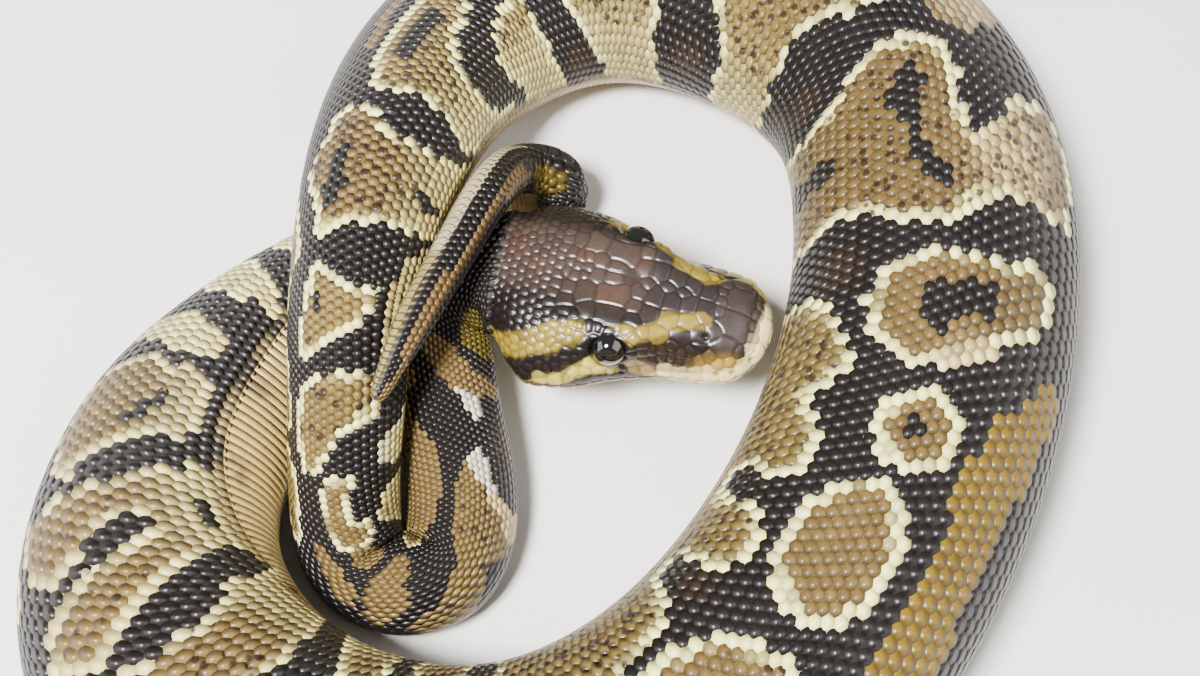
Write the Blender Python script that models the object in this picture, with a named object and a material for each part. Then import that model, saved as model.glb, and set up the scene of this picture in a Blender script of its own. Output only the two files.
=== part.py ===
"""Ball python, coiled at rest with its head inside the coil: a still, life-size model of a young
snake. Metres, +Z up; the floor is z = 0 and the origin is under the middle of the coil.

The whole animal is one surface of rings round a spine line, first along the straight head and then
along the winding body. Thin cuts part it into head, jaw, neck, lengths of trunk, and tail."""

import math

import bmesh
import bpy
import numpy as np
from mathutils import Matrix, Vector

MM = 0.001
GAP = 0.3                 # thin cut between two lengths, mm
FACETS = 24               # points round a ring of the body
HEAD_FACETS = 32          # points round a ring of the head
RING_STEP = 0.66          # spacing of rings, in body radii
KNOT_POWER = 0.6          # how the spline is timed: 1 by length, 0 evenly from point to point
SINK = 0.5                # how far the belly is pressed flat against the floor, mm
SPINE_STEPS = 4000        # short straight steps that the spine is measured in
SHARP_EDGE = 50           # edges that turn more than this are shaded sharp, degrees

# Spine of the body from the back of the head to the tip of the tail, in mm: x, y, and the clear
# height under the body at that place (0 where it lies on the floor).
SPINE = [
    ("nape", -8.8, 7.7, 5.3), ("neck bend", -11.1, 5.4, 4.3), ("neck top", -11.5, 1.7, 3.1),
    ("neck", -10.7, -4.1, 1.2), ("neck low", -9.6, -10.9, 0.0), ("loop right", -10.9, -17.0, 0.0),
    ("loop foot", -14.6, -18.6, 0.1), ("loop left", -18.3, -17.0, 0.7), ("arm low", -19.7, -11.7, 3.4),
    ("arm", -19.3, -4.3, 8.2), ("arm over", -18.9, 2.7, 10.6), ("arm top", -17.9, 10.7, 10.8),
    ("arm fall", -15.7, 21.7, 7.4), ("top left", -10.1, 34.7, 1.2), ("top", 1.9, 42.2, 0.0),
    ("top right", 17.9, 39.9, 0.0), ("right shoulder", 30.7, 29.1, 0.0), ("right", 33.9, 12.2, 0.0),
    ("right low", 30.5, -4.8, 0.0), ("right turn", 22.9, -20.3, 0.0), ("foot right", 10.9, -33.5, 0.0),
    ("foot", -5.1, -40.3, 0.0), ("foot left", -21.1, -37.5, 0.0), ("left turn", -31.7, -28.9, 0.0),
    ("left", -35.9, -18.3, 0.0), ("left up", -34.5, -6.7, 0.0), ("under in", -28.3, 4.7, 0.0),
    ("under", -21.5, 11.9, 0.0), ("vent", -11.9, 17.7, 0.0), ("tail base", -3.9, 19.5, 0.0),
    ("tail turn in", -1.7, 19.8, 0.9), ("tail turn", -0.8, 20.4, 3.2),
    ("tail turn out", -1.7, 21.0, 5.5), ("tail back", -3.9, 20.9, 6.8), ("tail over", -6.8, 15.9, 12.6),
    ("tail", -10.1, 7.1, 16.1), ("tail low", -13.2, -0.3, 17.7), ("tail tip", -16.0, -6.9, 17.7),
]
# Body radius in mm at named places of the spine.
GIRTH = [
    ("head root", 4.45), ("neck bend", 4.35), ("neck low", 4.85), ("loop foot", 4.5),
    ("arm low", 4.7), ("arm over", 5.3), ("arm fall", 7.2), ("top", 9.3), ("right shoulder", 11.4),
    ("right", 12.0), ("foot", 11.7), ("left turn", 10.9), ("left up", 8.6), ("under in", 6.5),
    ("under", 5.1), ("vent", 3.8), ("tail base", 2.7), ("tail turn", 2.4), ("tail over", 2.05),
    ("tail", 1.8), ("tail low", 1.5), ("tail tip", 0.75),
]
# How much wider than high the body is pressed, at named places of the spine.
PRESS = [
    ("head root", 1.0), ("loop right", 1.0), ("loop left", 1.0), ("top", 1.05), ("left", 1.08),
    ("under in", 1.25), ("under", 1.2), ("vent", 1.08), ("tail turn", 1.0), ("tail tip", 1.0),
]
# Where the thin cuts fall: each length ends at the place named here.
LENGTHS = [
    ("neck_1", "neck bend"), ("neck_2", "neck low"), ("neck_3", "loop foot"), ("trunk_1", "arm low"),
    ("trunk_2", "arm over"), ("trunk_3", "arm fall"), ("trunk_4", "top left"), ("trunk_5", "top"),
    ("trunk_6", "top right"), ("trunk_7", "right shoulder"), ("trunk_8", "right"),
    ("trunk_9", "right low"), ("trunk_10", "right turn"), ("trunk_11", "foot right"),
    ("trunk_12", "foot"), ("trunk_13", "foot left"), ("trunk_14", "left turn"), ("trunk_15", "left"),
    ("trunk_16", "left up"), ("trunk_17", "under in"), ("trunk_18", "under"), ("trunk_19", "vent"),
    ("tail_1", "tail base"), ("tail_2", "tail turn"), ("tail_3", "tail back"),
    ("tail_4", "tail over"), ("tail_5", "tail"), ("tail_6", "tail tip"),
]

# Head: its own frame has x forward from the jaw corners, y to its left, z up from the mouth line.
HEAD_PLACE = (-5.6, 8.0, 10.0)
HEAD_YAW, HEAD_PITCH, HEAD_ROLL = -15.0, 6.0, 3.0      # degrees; nose up and left side up are plus
HEAD_LENGTH = 24.8
HEAD_SIZES = [
    # x, crown height, brow half-width and height, cheek half-width and height, lip half-width,
    # jaw half-width and depth, throat depth
    (0.0, 4.6, 4.4, 3.9, 7.2, 1.0, 7.3, 5.9, 2.9, 4.2),
    (2.0, 4.8, 4.7, 4.3, 8.1, 1.2, 8.3, 6.6, 3.0, 4.3),
    (4.6, 5.1, 4.9, 4.6, 8.5, 1.4, 8.9, 7.0, 3.1, 4.4),
    (8.0, 5.2, 5.1, 4.9, 8.0, 1.8, 8.5, 6.7, 2.9, 4.2),
    (11.5, 5.0, 5.1, 4.6, 6.7, 2.0, 7.1, 5.6, 2.6, 3.8),
    (13.4, 4.9, 5.1, 4.5, 6.0, 2.0, 6.5, 5.1, 2.4, 3.6),
    (16.0, 4.6, 4.0, 3.8, 5.2, 1.7, 5.9, 4.7, 2.2, 3.3),
    (19.5, 4.0, 3.3, 3.2, 4.8, 1.4, 5.6, 4.4, 2.0, 2.9),
    (22.0, 3.3, 3.1, 2.6, 4.6, 1.1, 5.2, 3.9, 1.7, 2.4),
    (24.8, 2.3, 2.3, 1.9, 3.6, 0.8, 4.1, 2.9, 1.3, 1.8),
]
HEAD_RINGS = 16           # rings from the jaw corners to where the snout rounds off
SNOUT_RINGS = 6           # rings of the rounded end
SNOUT_ROUND = 4.2         # length over which the snout rounds off, mm
SNOUT_BLUNT = 2.6         # power of the rounding: 2 is an ellipse, more is squarer
TAIL_ROUND = 1.6          # length over which the tail's tip rounds off, mm
LOOK_ALONG = 0.4          # reach to each side over which the spine's direction is taken, mm
STRAIGHT = 0.01           # bends gentler than this, per mm, need no fold
INNER_ROOM = 0.78         # how near a ring's inner side comes to the middle of its bend
NAPE_FOLD = 0.3           # share by which the neck's fold draws in the right jaw corner
NAPE_FOLD_REACH = 4.0     # how far forward it does so, mm
NECK_BLEND = 4.4          # length over which head rings turn into neck rings, mm
EYE_AT = (11.4, 5.1, 3.15)
EYE_RADIUS = 1.7
EYE_RINGS, SOCKET_RINGS = 6, 12
JAW_BACK = 2.0            # where the lower jaw ends, mm before the jaw corners

# Colour of each kind of skin, and how rough its shine is.
SKIN_DARK = (0.045, 0.034, 0.028), 0.38
SKIN_TAN = (0.47, 0.32, 0.15), 0.4
SKIN_CREAM = (0.74, 0.67, 0.42), 0.4
EYE_BLACK = (0.012, 0.010, 0.010), 0.05


def smooth_through(knots, values, at):
    """Natural cubic spline through values at knots, read at the places `at`."""
    knots = np.asarray(knots, float)
    values = np.asarray(values, float)
    count = len(knots)
    step = np.diff(knots)
    system = np.eye(count)
    right = np.zeros((count,) + values.shape[1:])
    for i in range(1, count - 1):
        system[i, i - 1:i + 2] = step[i - 1], 2 * (step[i - 1] + step[i]), step[i]
        right[i] = 6 * ((values[i + 1] - values[i]) / step[i] - (values[i] - values[i - 1]) / step[i - 1])
    bend = np.linalg.solve(system, right)
    at = np.clip(np.asarray(at, float), knots[0], knots[-1])
    i = np.clip(np.searchsorted(knots, at, side="right") - 1, 0, count - 2)
    shape = (-1,) + (1,) * (values.ndim - 1)
    h = step[i].reshape(shape)
    a = ((knots[i + 1] - at).reshape(shape)) / h
    b = 1 - a
    return (a * values[i] + b * values[i + 1]
            + ((a ** 3 - a) * bend[i] + (b ** 3 - b) * bend[i + 1]) * h ** 2 / 6)


def ease_through(knots, values, at):
    """Values at knots, eased from one to the next with no overshoot."""
    knots = np.asarray(knots, float)
    values = np.asarray(values, float)
    step = np.diff(knots)
    slope = np.diff(values) / step
    tangent = np.zeros(len(knots))
    for i in range(1, len(knots) - 1):
        if slope[i - 1] * slope[i] > 0:
            tangent[i] = 2 / (1 / slope[i - 1] + 1 / slope[i])
    at = np.clip(np.asarray(at, float), knots[0], knots[-1])
    i = np.clip(np.searchsorted(knots, at, side="right") - 1, 0, len(knots) - 2)
    t = (at - knots[i]) / step[i]
    return ((2 * t ** 3 - 3 * t ** 2 + 1) * values[i] + (t ** 3 - 2 * t ** 2 + t) * step[i] * tangent[i]
            + (3 * t ** 2 - 2 * t ** 3) * values[i + 1] + (t ** 3 - t ** 2) * step[i] * tangent[i + 1])


def head_matrix():
    """From the head's own frame to the world, both in mm."""
    yaw = Matrix.Rotation(math.radians(HEAD_YAW), 4, "Z")
    pitch = Matrix.Rotation(-math.radians(HEAD_PITCH), 4, "Y")
    roll = Matrix.Rotation(math.radians(HEAD_ROLL), 4, "X")
    return Matrix.Translation(HEAD_PLACE) @ yaw @ pitch @ roll


def head_section(x, facets):
    """Outline of the head at x, in its own frame: from the crown over its left side and round."""
    at = min(max(x, 0.0), HEAD_LENGTH)
    stations = [row[0] for row in HEAD_SIZES]
    crown, brow, brow_z, cheek, cheek_z, lip, jaw, jaw_z, throat = (
        float(ease_through(stations, [row[k] for row in HEAD_SIZES], [at])[0]) for k in range(1, 10))
    left = [(brow, brow_z), (cheek, cheek_z), (lip, 0.0), (jaw, -jaw_z)]
    corners = [(0.0, crown)] + left + [(0.0, -throat)] + [(-y, z) for y, z in reversed(left)]
    count = len(corners)
    loop = np.array(corners * 3 + corners[:1])
    share = np.r_[0, np.cumsum(np.linalg.norm(np.diff(loop, axis=0), axis=1))]
    around = np.linspace(share[count], share[2 * count], facets, endpoint=False)
    outline = smooth_through(share, loop, around)
    drawn = min(NAPE_FOLD, NAPE_FOLD * max(0.0, 1 - x / NAPE_FOLD_REACH) ** 1.5)
    outline[:, 0] *= np.where(outline[:, 0] < 0, 1 - drawn, 1)
    middle = np.array([0.0, (crown - throat) / 4])
    return middle + (outline - middle) * snout_share(x)


def snout_share(x):
    """Share of its full size that the head still has at x, as the snout's end rounds off."""
    way = min(max((x - HEAD_LENGTH + SNOUT_ROUND) / SNOUT_ROUND, 0.0), 0.995)
    return (1 - way ** SNOUT_BLUNT) ** (1 / SNOUT_BLUNT)


def head_ring(x, facets=HEAD_FACETS):
    turn = head_matrix()
    return np.array([tuple(turn @ Vector((x, y, z))) for y, z in head_section(x, facets)])


class Body:
    """The winding body: its spine, measured in mm from the head, and the rings round it."""

    def __init__(self):
        root = [tuple(head_matrix() @ Vector((x, 0, 0))) for x in (3.0, 0.0)]
        names = ["in the head", "head root"] + [place[0] for place in SPINE]
        plan = np.array([point[:2] for point in root] + [place[1:3] for place in SPINE])
        lift = np.array([point[2] - GIRTH[0][1] for point in root] + [place[3] for place in SPINE])
        chords = np.linalg.norm(np.diff(np.c_[plan, lift], axis=0), axis=1)
        knots = np.r_[0, np.cumsum(chords ** KNOT_POWER)]
        knots -= knots[1]
        at = np.linspace(0, knots[-1], SPINE_STEPS + 1)
        radius = ease_through([knots[names.index(n)] for n, _ in GIRTH], [v for _, v in GIRTH], at)
        press = ease_through([knots[names.index(n)] for n, _ in PRESS], [v for _, v in PRESS], at)
        height = np.array([np.interp(k, at, radius / press) for k in knots]) + lift
        height -= np.where(lift < GAP / 10, SINK, 0)
        height[:2] = [point[2] for point in root]
        line = smooth_through(knots, np.c_[plan, height], at)
        self.s = np.r_[0, np.cumsum(np.linalg.norm(np.diff(line, axis=0), axis=1))]
        self.line, self.radius, self.press = line, radius, press
        way = np.gradient(line, axis=0)
        way /= np.linalg.norm(way, axis=1)[:, None]
        self.bend = np.gradient(way, axis=0) / np.gradient(self.s)[:, None]
        self.place = {n: float(np.interp(k, at, self.s)) for n, k in zip(names, knots)}
        self.length = float(self.s[-1])
        from_tip = (self.length - self.s) / TAIL_ROUND
        self.radius = radius * np.sqrt(1 - np.clip(1 - from_tip, 0, 0.97) ** 2)

    def value(self, table, s):
        if table.ndim == 1:
            return float(np.interp(s, self.s, table))
        return np.array([np.interp(s, self.s, table[:, k]) for k in range(3)])

    def frame(self, s):
        """Middle of the ring, the way to the head, the snake's left, and up."""
        middle = self.value(self.line, s)
        before = self.value(self.line, max(s - LOOK_ALONG, 0))
        ahead = before - self.value(self.line, min(s + LOOK_ALONG, self.length))
        ahead /= np.linalg.norm(ahead)
        up = np.array([0, 0, 1.0]) - ahead[2] * ahead
        up /= np.linalg.norm(up)
        return middle, ahead, np.cross(up, ahead), up

    def ring(self, s, facets=FACETS):
        """Ring of points at s, from the top over the snake's left side and round."""
        middle, _, left, up = self.frame(s)
        radius, press = self.value(self.radius, s), self.value(self.press, s)
        turn = np.linspace(0, 2 * math.pi, facets, endpoint=False)
        outline = np.c_[np.sin(turn) * radius * press, np.cos(turn) * radius / press]
        if s < NECK_BLEND:
            way = s / NECK_BLEND
            way = way * way * (3 - 2 * way)
            outline += (head_section(0.0, facets) - outline) * (1 - way)
        points = middle + outline @ np.array([left, up])
        if 0 < s < NECK_BLEND:
            points += (head_ring(0.0, facets) - self.ring(0.0, facets)) * (1 - way)
        points = self.fold(points, middle, s)
        points[:, 2] = np.maximum(points[:, 2], 0)
        return points

    def fold(self, points, middle, s):
        """Draw in the inner side of a tight bend, so that its rings don't cross."""
        bend = self.value(self.bend, s)
        tightness = np.linalg.norm(bend)
        if tightness < STRAIGHT:
            return points
        inward = bend / tightness
        reach = (points - middle) @ inward
        room = INNER_ROOM / tightness
        if reach.max() <= room:
            return points
        drawn = np.where(reach > 0, reach * (1 - room / reach.max()), 0)
        return points - np.outer(drawn, inward)


def loft(name, rings):
    """A closed solid through rings of points given in mm."""
    mesh = bmesh.new()
    rows = [[mesh.verts.new(Vector(point) * MM) for point in ring] for ring in rings]
    for low, high in zip(rows, rows[1:]):
        for k in range(len(low)):
            after = (k + 1) % len(low)
            mesh.faces.new((low[k], low[after], high[after], high[k]))
    mesh.faces.new(reversed(rows[0]))
    mesh.faces.new(rows[-1])
    bmesh.ops.recalc_face_normals(mesh, faces=mesh.faces)
    return finish(name, mesh)


def finish(name, mesh):
    data = bpy.data.meshes.new(name)
    mesh.to_mesh(data)
    mesh.free()
    data.shade_smooth()
    data.set_sharp_from_angle(angle=math.radians(SHARP_EDGE))
    return bpy.data.objects.new(name, data)


def dress(thing, collection, skin):
    colour, roughness = skin
    material = bpy.data.materials.new(thing.name)
    material.use_nodes = True
    shader = material.node_tree.nodes["Principled BSDF"]
    shader.inputs["Base Color"].default_value = (*colour, 1)
    shader.inputs["Roughness"].default_value = roughness
    shader.inputs["Metallic"].default_value = 0.0
    thing.data.materials.append(material)
    collection.objects.link(thing)
    return thing


def cut(thing, cutter, how):
    step = thing.modifiers.new(how.lower(), "BOOLEAN")
    step.operation = how
    step.object = cutter
    step.solver = "EXACT"


def make_cutter(name, mesh, cutters):
    thing = finish(name, mesh)
    thing.matrix_world = head_in_metres()
    thing.hide_render = True
    thing.display_type = "WIRE"
    cutters.objects.link(thing)
    return thing


def head_in_metres():
    return Matrix.Scale(MM, 4) @ head_matrix() @ Matrix.Scale(1 / MM, 4)


def jaw_block(name, grow, cutters):
    """All that lies under the mouth line and ahead of the jaw's end, grown by `grow` mm."""
    low = Vector((JAW_BACK - grow, -15, -15)) * MM
    high = Vector((HEAD_LENGTH + 5, 15, grow)) * MM
    mesh = bmesh.new()
    bmesh.ops.create_cube(mesh, size=1.0)
    for vert in mesh.verts:
        vert.co = Vector(low[k] + (vert.co[k] + 0.5) * (high[k] - low[k]) for k in range(3))
    return make_cutter(name, mesh, cutters)


def ball(radius, centre, rings):
    mesh = bmesh.new()
    bmesh.ops.create_uvsphere(mesh, u_segments=2 * rings, v_segments=rings, radius=radius * MM)
    bmesh.ops.translate(mesh, vec=Vector(centre) * MM, verts=mesh.verts)
    return mesh


def head_parts(collection, cutters):
    """Head and lower jaw, parted along the mouth line, and an eye in its socket on each side."""
    nose = HEAD_LENGTH - SNOUT_ROUND
    straight = np.linspace(GAP / 2, nose, HEAD_RINGS)
    rounded = nose + SNOUT_ROUND * np.sin(np.linspace(0, math.pi / 2, SNOUT_RINGS + 1)[1:])
    rings = [head_ring(x) for x in [*straight, *rounded]]

    head = dress(loft("head", rings), collection, SKIN_DARK)
    cut(head, jaw_block("mouth_cut", GAP / 2, cutters), "DIFFERENCE")
    jaw = dress(loft("lower_jaw", rings), collection, SKIN_CREAM)
    cut(jaw, jaw_block("jaw_block", -GAP / 2, cutters), "INTERSECT")
    for side, way in (("left", 1), ("right", -1)):
        centre = (EYE_AT[0], way * EYE_AT[1], EYE_AT[2])
        socket = make_cutter(f"socket_{side}", ball(EYE_RADIUS + GAP, centre, SOCKET_RINGS), cutters)
        cut(head, socket, "DIFFERENCE")
        eye = finish(f"eye_{side}", ball(EYE_RADIUS, centre, EYE_RINGS))
        eye.matrix_world = head_in_metres()
        dress(eye, collection, EYE_BLACK)


def body_parts(body, collection):
    """Neck, trunk and tail, each length a solid of its own between two thin cuts."""
    start = 0.0
    for name, last in LENGTHS:
        end = body.place[last]
        steps = math.ceil((end - start) / (RING_STEP * body.value(body.radius, (start + end) / 2)))
        share = np.linspace(0, 1, max(steps, 3) + 1)
        tip = last == LENGTHS[-1][1]
        if tip:
            share = np.sin(share * math.pi / 2)
        first = start + GAP / 2
        room = end - first - (0 if tip else GAP / 2)
        rings = [body.ring(s) for s in first + room * share]
        skin = SKIN_TAN if name.startswith("trunk") else SKIN_DARK
        dress(loft(name, rings), collection, skin)
        start = end


def main():
    for thing in list(bpy.data.objects):
        bpy.data.objects.remove(thing)
    collection = bpy.data.collections.new("ball_python")
    cutters = bpy.data.collections.new("cutters")
    for group in (collection, cutters):
        bpy.context.scene.collection.children.link(group)
    head_parts(collection, cutters)
    body_parts(Body(), collection)


main()
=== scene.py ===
"""Young ball python at rest in a loose coil, life size, with its head inside the coil.

One skin replaces all the lengths of flesh, and lies inside them by the depth of the scales. Over it
lie the small scales of back and flanks, row by row as they grow, and the wide plates of the belly.
The plates of the head are raised in the skin itself. Lengths are in mm until a mesh is made."""

import math

import bpy
import numpy as np
from mathutils import Matrix, Vector


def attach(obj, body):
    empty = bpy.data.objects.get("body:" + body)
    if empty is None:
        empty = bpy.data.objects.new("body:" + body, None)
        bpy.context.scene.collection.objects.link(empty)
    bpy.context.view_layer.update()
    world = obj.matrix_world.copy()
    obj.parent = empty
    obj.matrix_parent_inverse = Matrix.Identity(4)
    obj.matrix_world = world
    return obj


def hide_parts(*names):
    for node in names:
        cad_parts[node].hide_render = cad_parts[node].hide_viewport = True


MM = 0.001
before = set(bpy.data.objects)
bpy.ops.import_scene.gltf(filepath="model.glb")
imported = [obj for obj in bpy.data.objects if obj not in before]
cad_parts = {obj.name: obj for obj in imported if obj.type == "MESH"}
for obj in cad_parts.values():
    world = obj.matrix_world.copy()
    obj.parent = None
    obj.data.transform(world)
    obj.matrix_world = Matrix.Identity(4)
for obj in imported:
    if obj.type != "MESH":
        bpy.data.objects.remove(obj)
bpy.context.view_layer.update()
random = np.random.default_rng(7)

# ---------------------------------------------------------------------------------------------
# The body's route, girth and head, as in the solids.

SINK = 0.5
KNOT_POWER = 0.6
SPINE = [
    ("nape", -8.8, 7.7, 5.3), ("neck bend", -11.1, 5.4, 4.3), ("neck top", -11.5, 1.7, 3.1),
    ("neck", -10.7, -4.1, 1.2), ("neck low", -9.6, -10.9, 0.0), ("loop right", -10.9, -17.0, 0.0),
    ("loop foot", -14.6, -18.6, 0.1), ("loop left", -18.3, -17.0, 0.7), ("arm low", -19.7, -11.7, 3.4),
    ("arm", -19.3, -4.3, 8.2), ("arm over", -18.9, 2.7, 10.6), ("arm top", -17.9, 10.7, 10.8),
    ("arm fall", -15.7, 21.7, 7.4), ("top left", -10.1, 34.7, 1.2), ("top", 1.9, 42.2, 0.0),
    ("top right", 17.9, 39.9, 0.0), ("right shoulder", 30.7, 29.1, 0.0), ("right", 33.9, 12.2, 0.0),
    ("right low", 30.5, -4.8, 0.0), ("right turn", 22.9, -20.3, 0.0), ("foot right", 10.9, -33.5, 0.0),
    ("foot", -5.1, -40.3, 0.0), ("foot left", -21.1, -37.5, 0.0), ("left turn", -31.7, -28.9, 0.0),
    ("left", -35.9, -18.3, 0.0), ("left up", -34.5, -6.7, 0.0), ("under in", -28.3, 4.7, 0.0),
    ("under", -21.5, 11.9, 0.0), ("vent", -11.9, 17.7, 0.0), ("tail base", -3.9, 19.5, 0.0),
    ("tail turn in", -1.7, 19.8, 0.9), ("tail turn", -0.8, 20.4, 3.2),
    ("tail turn out", -1.7, 21.0, 5.5), ("tail back", -3.9, 20.9, 6.8), ("tail over", -6.8, 15.9, 12.6),
    ("tail", -10.1, 7.1, 16.1), ("tail low", -13.2, -0.3, 17.7), ("tail tip", -16.0, -6.9, 17.7),
]
GIRTH = [
    ("head root", 4.45), ("neck bend", 4.35), ("neck low", 4.85), ("loop foot", 4.5),
    ("arm low", 4.7), ("arm over", 5.3), ("arm fall", 7.2), ("top", 9.3), ("right shoulder", 11.4),
    ("right", 12.0), ("foot", 11.7), ("left turn", 10.9), ("left up", 8.6), ("under in", 6.5),
    ("under", 5.1), ("vent", 3.8), ("tail base", 2.7), ("tail turn", 2.4), ("tail over", 2.05),
    ("tail", 1.8), ("tail low", 1.5), ("tail tip", 0.75),
]
PRESS = [
    ("head root", 1.0), ("loop right", 1.0), ("loop left", 1.0), ("top", 1.05), ("left", 1.08),
    ("under in", 1.25), ("under", 1.2), ("vent", 1.08), ("tail turn", 1.0), ("tail tip", 1.0),
]
# How far the snake's left flank is rolled up at each place, in degrees. Its hind end lies belly up
# and curls over on itself, which brings the tail's back to the top again.
ROLL = [
    ("head root", 3), ("nape", 0), ("neck top", 0), ("neck", 5), ("neck low", 10), ("loop right", 15),
    ("loop foot", 25), ("loop left", 35), ("arm low", 42), ("arm", 48), ("arm over", 52),
    ("arm top", 52), ("arm fall", 50), ("top left", 46), ("top", 42), ("top right", 30),
    ("right shoulder", 12), ("right", 0), ("right turn", 0), ("foot right", 8), ("foot", 28),
    ("foot left", 50), ("left turn", 68), ("left", 92), ("left up", 115), ("under in", 128),
    ("under", 140), ("vent", 155), ("tail base", 170), ("tail turn in", 185), ("tail turn", 270),
    ("tail turn out", 350), ("tail back", 355), ("tail over", 350), ("tail", 350),
    ("tail low", 355), ("tail tip", 360),
]
HEAD_PLACE = (-5.6, 8.0, 10.0)
HEAD_YAW, HEAD_PITCH, HEAD_ROLL = -15.0, 6.0, 3.0
HEAD_LENGTH = 24.8
HEAD_SIZES = [
    (0.0, 4.6, 4.4, 3.9, 7.2, 1.0, 7.3, 5.9, 2.9, 4.2),
    (2.0, 4.8, 4.7, 4.3, 8.1, 1.2, 8.3, 6.6, 3.0, 4.3),
    (4.6, 5.1, 4.9, 4.6, 8.5, 1.4, 8.9, 7.0, 3.1, 4.4),
    (8.0, 5.2, 5.1, 4.9, 8.0, 1.8, 8.5, 6.7, 2.9, 4.2),
    (11.5, 5.0, 5.1, 4.6, 6.7, 2.0, 7.1, 5.6, 2.6, 3.8),
    (13.4, 4.9, 5.1, 4.5, 6.0, 2.0, 6.5, 5.1, 2.4, 3.6),
    (16.0, 4.6, 4.0, 3.8, 5.2, 1.7, 5.9, 4.7, 2.2, 3.3),
    (19.5, 4.0, 3.3, 3.2, 4.8, 1.4, 5.6, 4.4, 2.0, 2.9),
    (22.0, 3.3, 3.1, 2.6, 4.6, 1.1, 5.2, 3.9, 1.7, 2.4),
    (24.8, 2.3, 2.3, 1.9, 3.6, 0.8, 4.1, 2.9, 1.3, 1.8),
]
SNOUT_ROUND, SNOUT_BLUNT = 4.2, 2.6
TAIL_ROUND = 1.6
INNER_ROOM, NAPE_FOLD, NAPE_FOLD_REACH, NECK_BLEND = 0.78, 0.3, 4.0, 4.4
LOOK_ALONG, STRAIGHT = 0.4, 0.01
EYE_AT = (11.4, 5.1, 3.15)
EYE_RADIUS = 1.7
EYE_SHOWN = 1.52          # radius of the round opening in the skin that the eye fills

# ---------------------------------------------------------------------------------------------
# Scales and skin.

SCALE_LENGTH = 1.22       # from one scale to the next along the thickest part of the body
SCALE_DEPTH = 0.19        # height of a scale, as a share of that
WIDEST = 12.0             # body radius where the scales have those sizes
SIDE_ROWS = 25            # rows on each side of the spine there
BELLY_EDGE = 146.0        # where rows of scales give way to belly plates, degrees from the spine
TAIL_FROM = 335.5         # the tail's own rows start here: middle and room of each, in degrees
TAIL_ROWS = [(30, 54)] + [(62 + (k + 0.5) * 22.6, 22.6) for k in range(13)]
TAIL_GROWS = (322, 338)   # scales change to the tail's form between these
TAIL_SCALE, TAIL_GIRTH = 0.80, 1.9    # length of a scale on the tail, where its radius is the second
ENDING_ROWS = [13, 19, 9, 16, 22, 6, 11, 3, 18]    # in the order in which they end toward thin lengths
SKIN_STEP = 0.8           # spacing of the skin's rings along the body
SKIN_FACETS = 96
HEAD_STEP = 0.15
HEAD_FACETS = 3 * SKIN_FACETS
NET_STEP, NET_COLUMNS = 0.4, 192      # rings and columns that the body's surface is read from
SCALE_CLEAR, SKIN_CLEAR = 0.01, 0.12  # room between the floor and what lies on it
MOST_SCALES = 3200        # in one piece, to keep it light
FLECK_SPACING = 1 / 0.95  # from one place for a dark fleck to the next
FLECKS = 1.6              # chance of a fleck at such a place, over the share of flecked scales there


def smooth_through(knots, values, at):
    """Natural cubic spline through values at knots, read at the places `at`."""
    knots = np.asarray(knots, float)
    values = np.asarray(values, float)
    count = len(knots)
    step = np.diff(knots)
    system = np.eye(count)
    right = np.zeros((count,) + values.shape[1:])
    for i in range(1, count - 1):
        system[i, i - 1:i + 2] = step[i - 1], 2 * (step[i - 1] + step[i]), step[i]
        right[i] = 6 * ((values[i + 1] - values[i]) / step[i] - (values[i] - values[i - 1]) / step[i - 1])
    bend = np.linalg.solve(system, right)
    at = np.clip(np.asarray(at, float), knots[0], knots[-1])
    i = np.clip(np.searchsorted(knots, at, side="right") - 1, 0, count - 2)
    shape = (-1,) + (1,) * (values.ndim - 1)
    h = step[i].reshape(shape)
    a = ((knots[i + 1] - at).reshape(shape)) / h
    b = 1 - a
    return (a * values[i] + b * values[i + 1]
            + ((a ** 3 - a) * bend[i] + (b ** 3 - b) * bend[i + 1]) * h ** 2 / 6)


def ease_through(knots, values, at):
    """Values at knots, eased from one to the next with no overshoot."""
    knots = np.asarray(knots, float)
    values = np.asarray(values, float)
    step = np.diff(knots)
    slope = np.diff(values) / step
    tangent = np.zeros(len(knots))
    for i in range(1, len(knots) - 1):
        if slope[i - 1] * slope[i] > 0:
            tangent[i] = 2 / (1 / slope[i - 1] + 1 / slope[i])
    at = np.clip(np.asarray(at, float), knots[0], knots[-1])
    i = np.clip(np.searchsorted(knots, at, side="right") - 1, 0, len(knots) - 2)
    t = (at - knots[i]) / step[i]
    return ((2 * t ** 3 - 3 * t ** 2 + 1) * values[i] + (t ** 3 - 2 * t ** 2 + t) * step[i] * tangent[i]
            + (3 * t ** 2 - 2 * t ** 3) * values[i + 1] + (t ** 3 - t ** 2) * step[i] * tangent[i + 1])


def ease(low, high, value):
    """0 below low, 1 above high, and a smooth step between."""
    way = np.clip((np.asarray(value, float) - low) / (high - low), 0, 1)
    return way * way * (3 - 2 * way)


def head_matrix():
    """From the head's own frame to the world, both in mm."""
    yaw = Matrix.Rotation(math.radians(HEAD_YAW), 4, "Z")
    pitch = Matrix.Rotation(-math.radians(HEAD_PITCH), 4, "Y")
    roll = Matrix.Rotation(math.radians(HEAD_ROLL), 4, "X")
    return Matrix.Translation(HEAD_PLACE) @ yaw @ pitch @ roll


HEAD = np.array(head_matrix())


def head_to_world(points):
    return points @ HEAD[:3, :3].T + HEAD[:3, 3]


def world_to_head(points):
    return (points - HEAD[:3, 3]) @ HEAD[:3, :3]


def crowded(count):
    """Shares round a ring from the crown, closer together on top of the head than under it."""
    way = np.arange(count) / count
    return way - 0.36 * np.sin(2 * math.pi * way) / (2 * math.pi)


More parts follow.
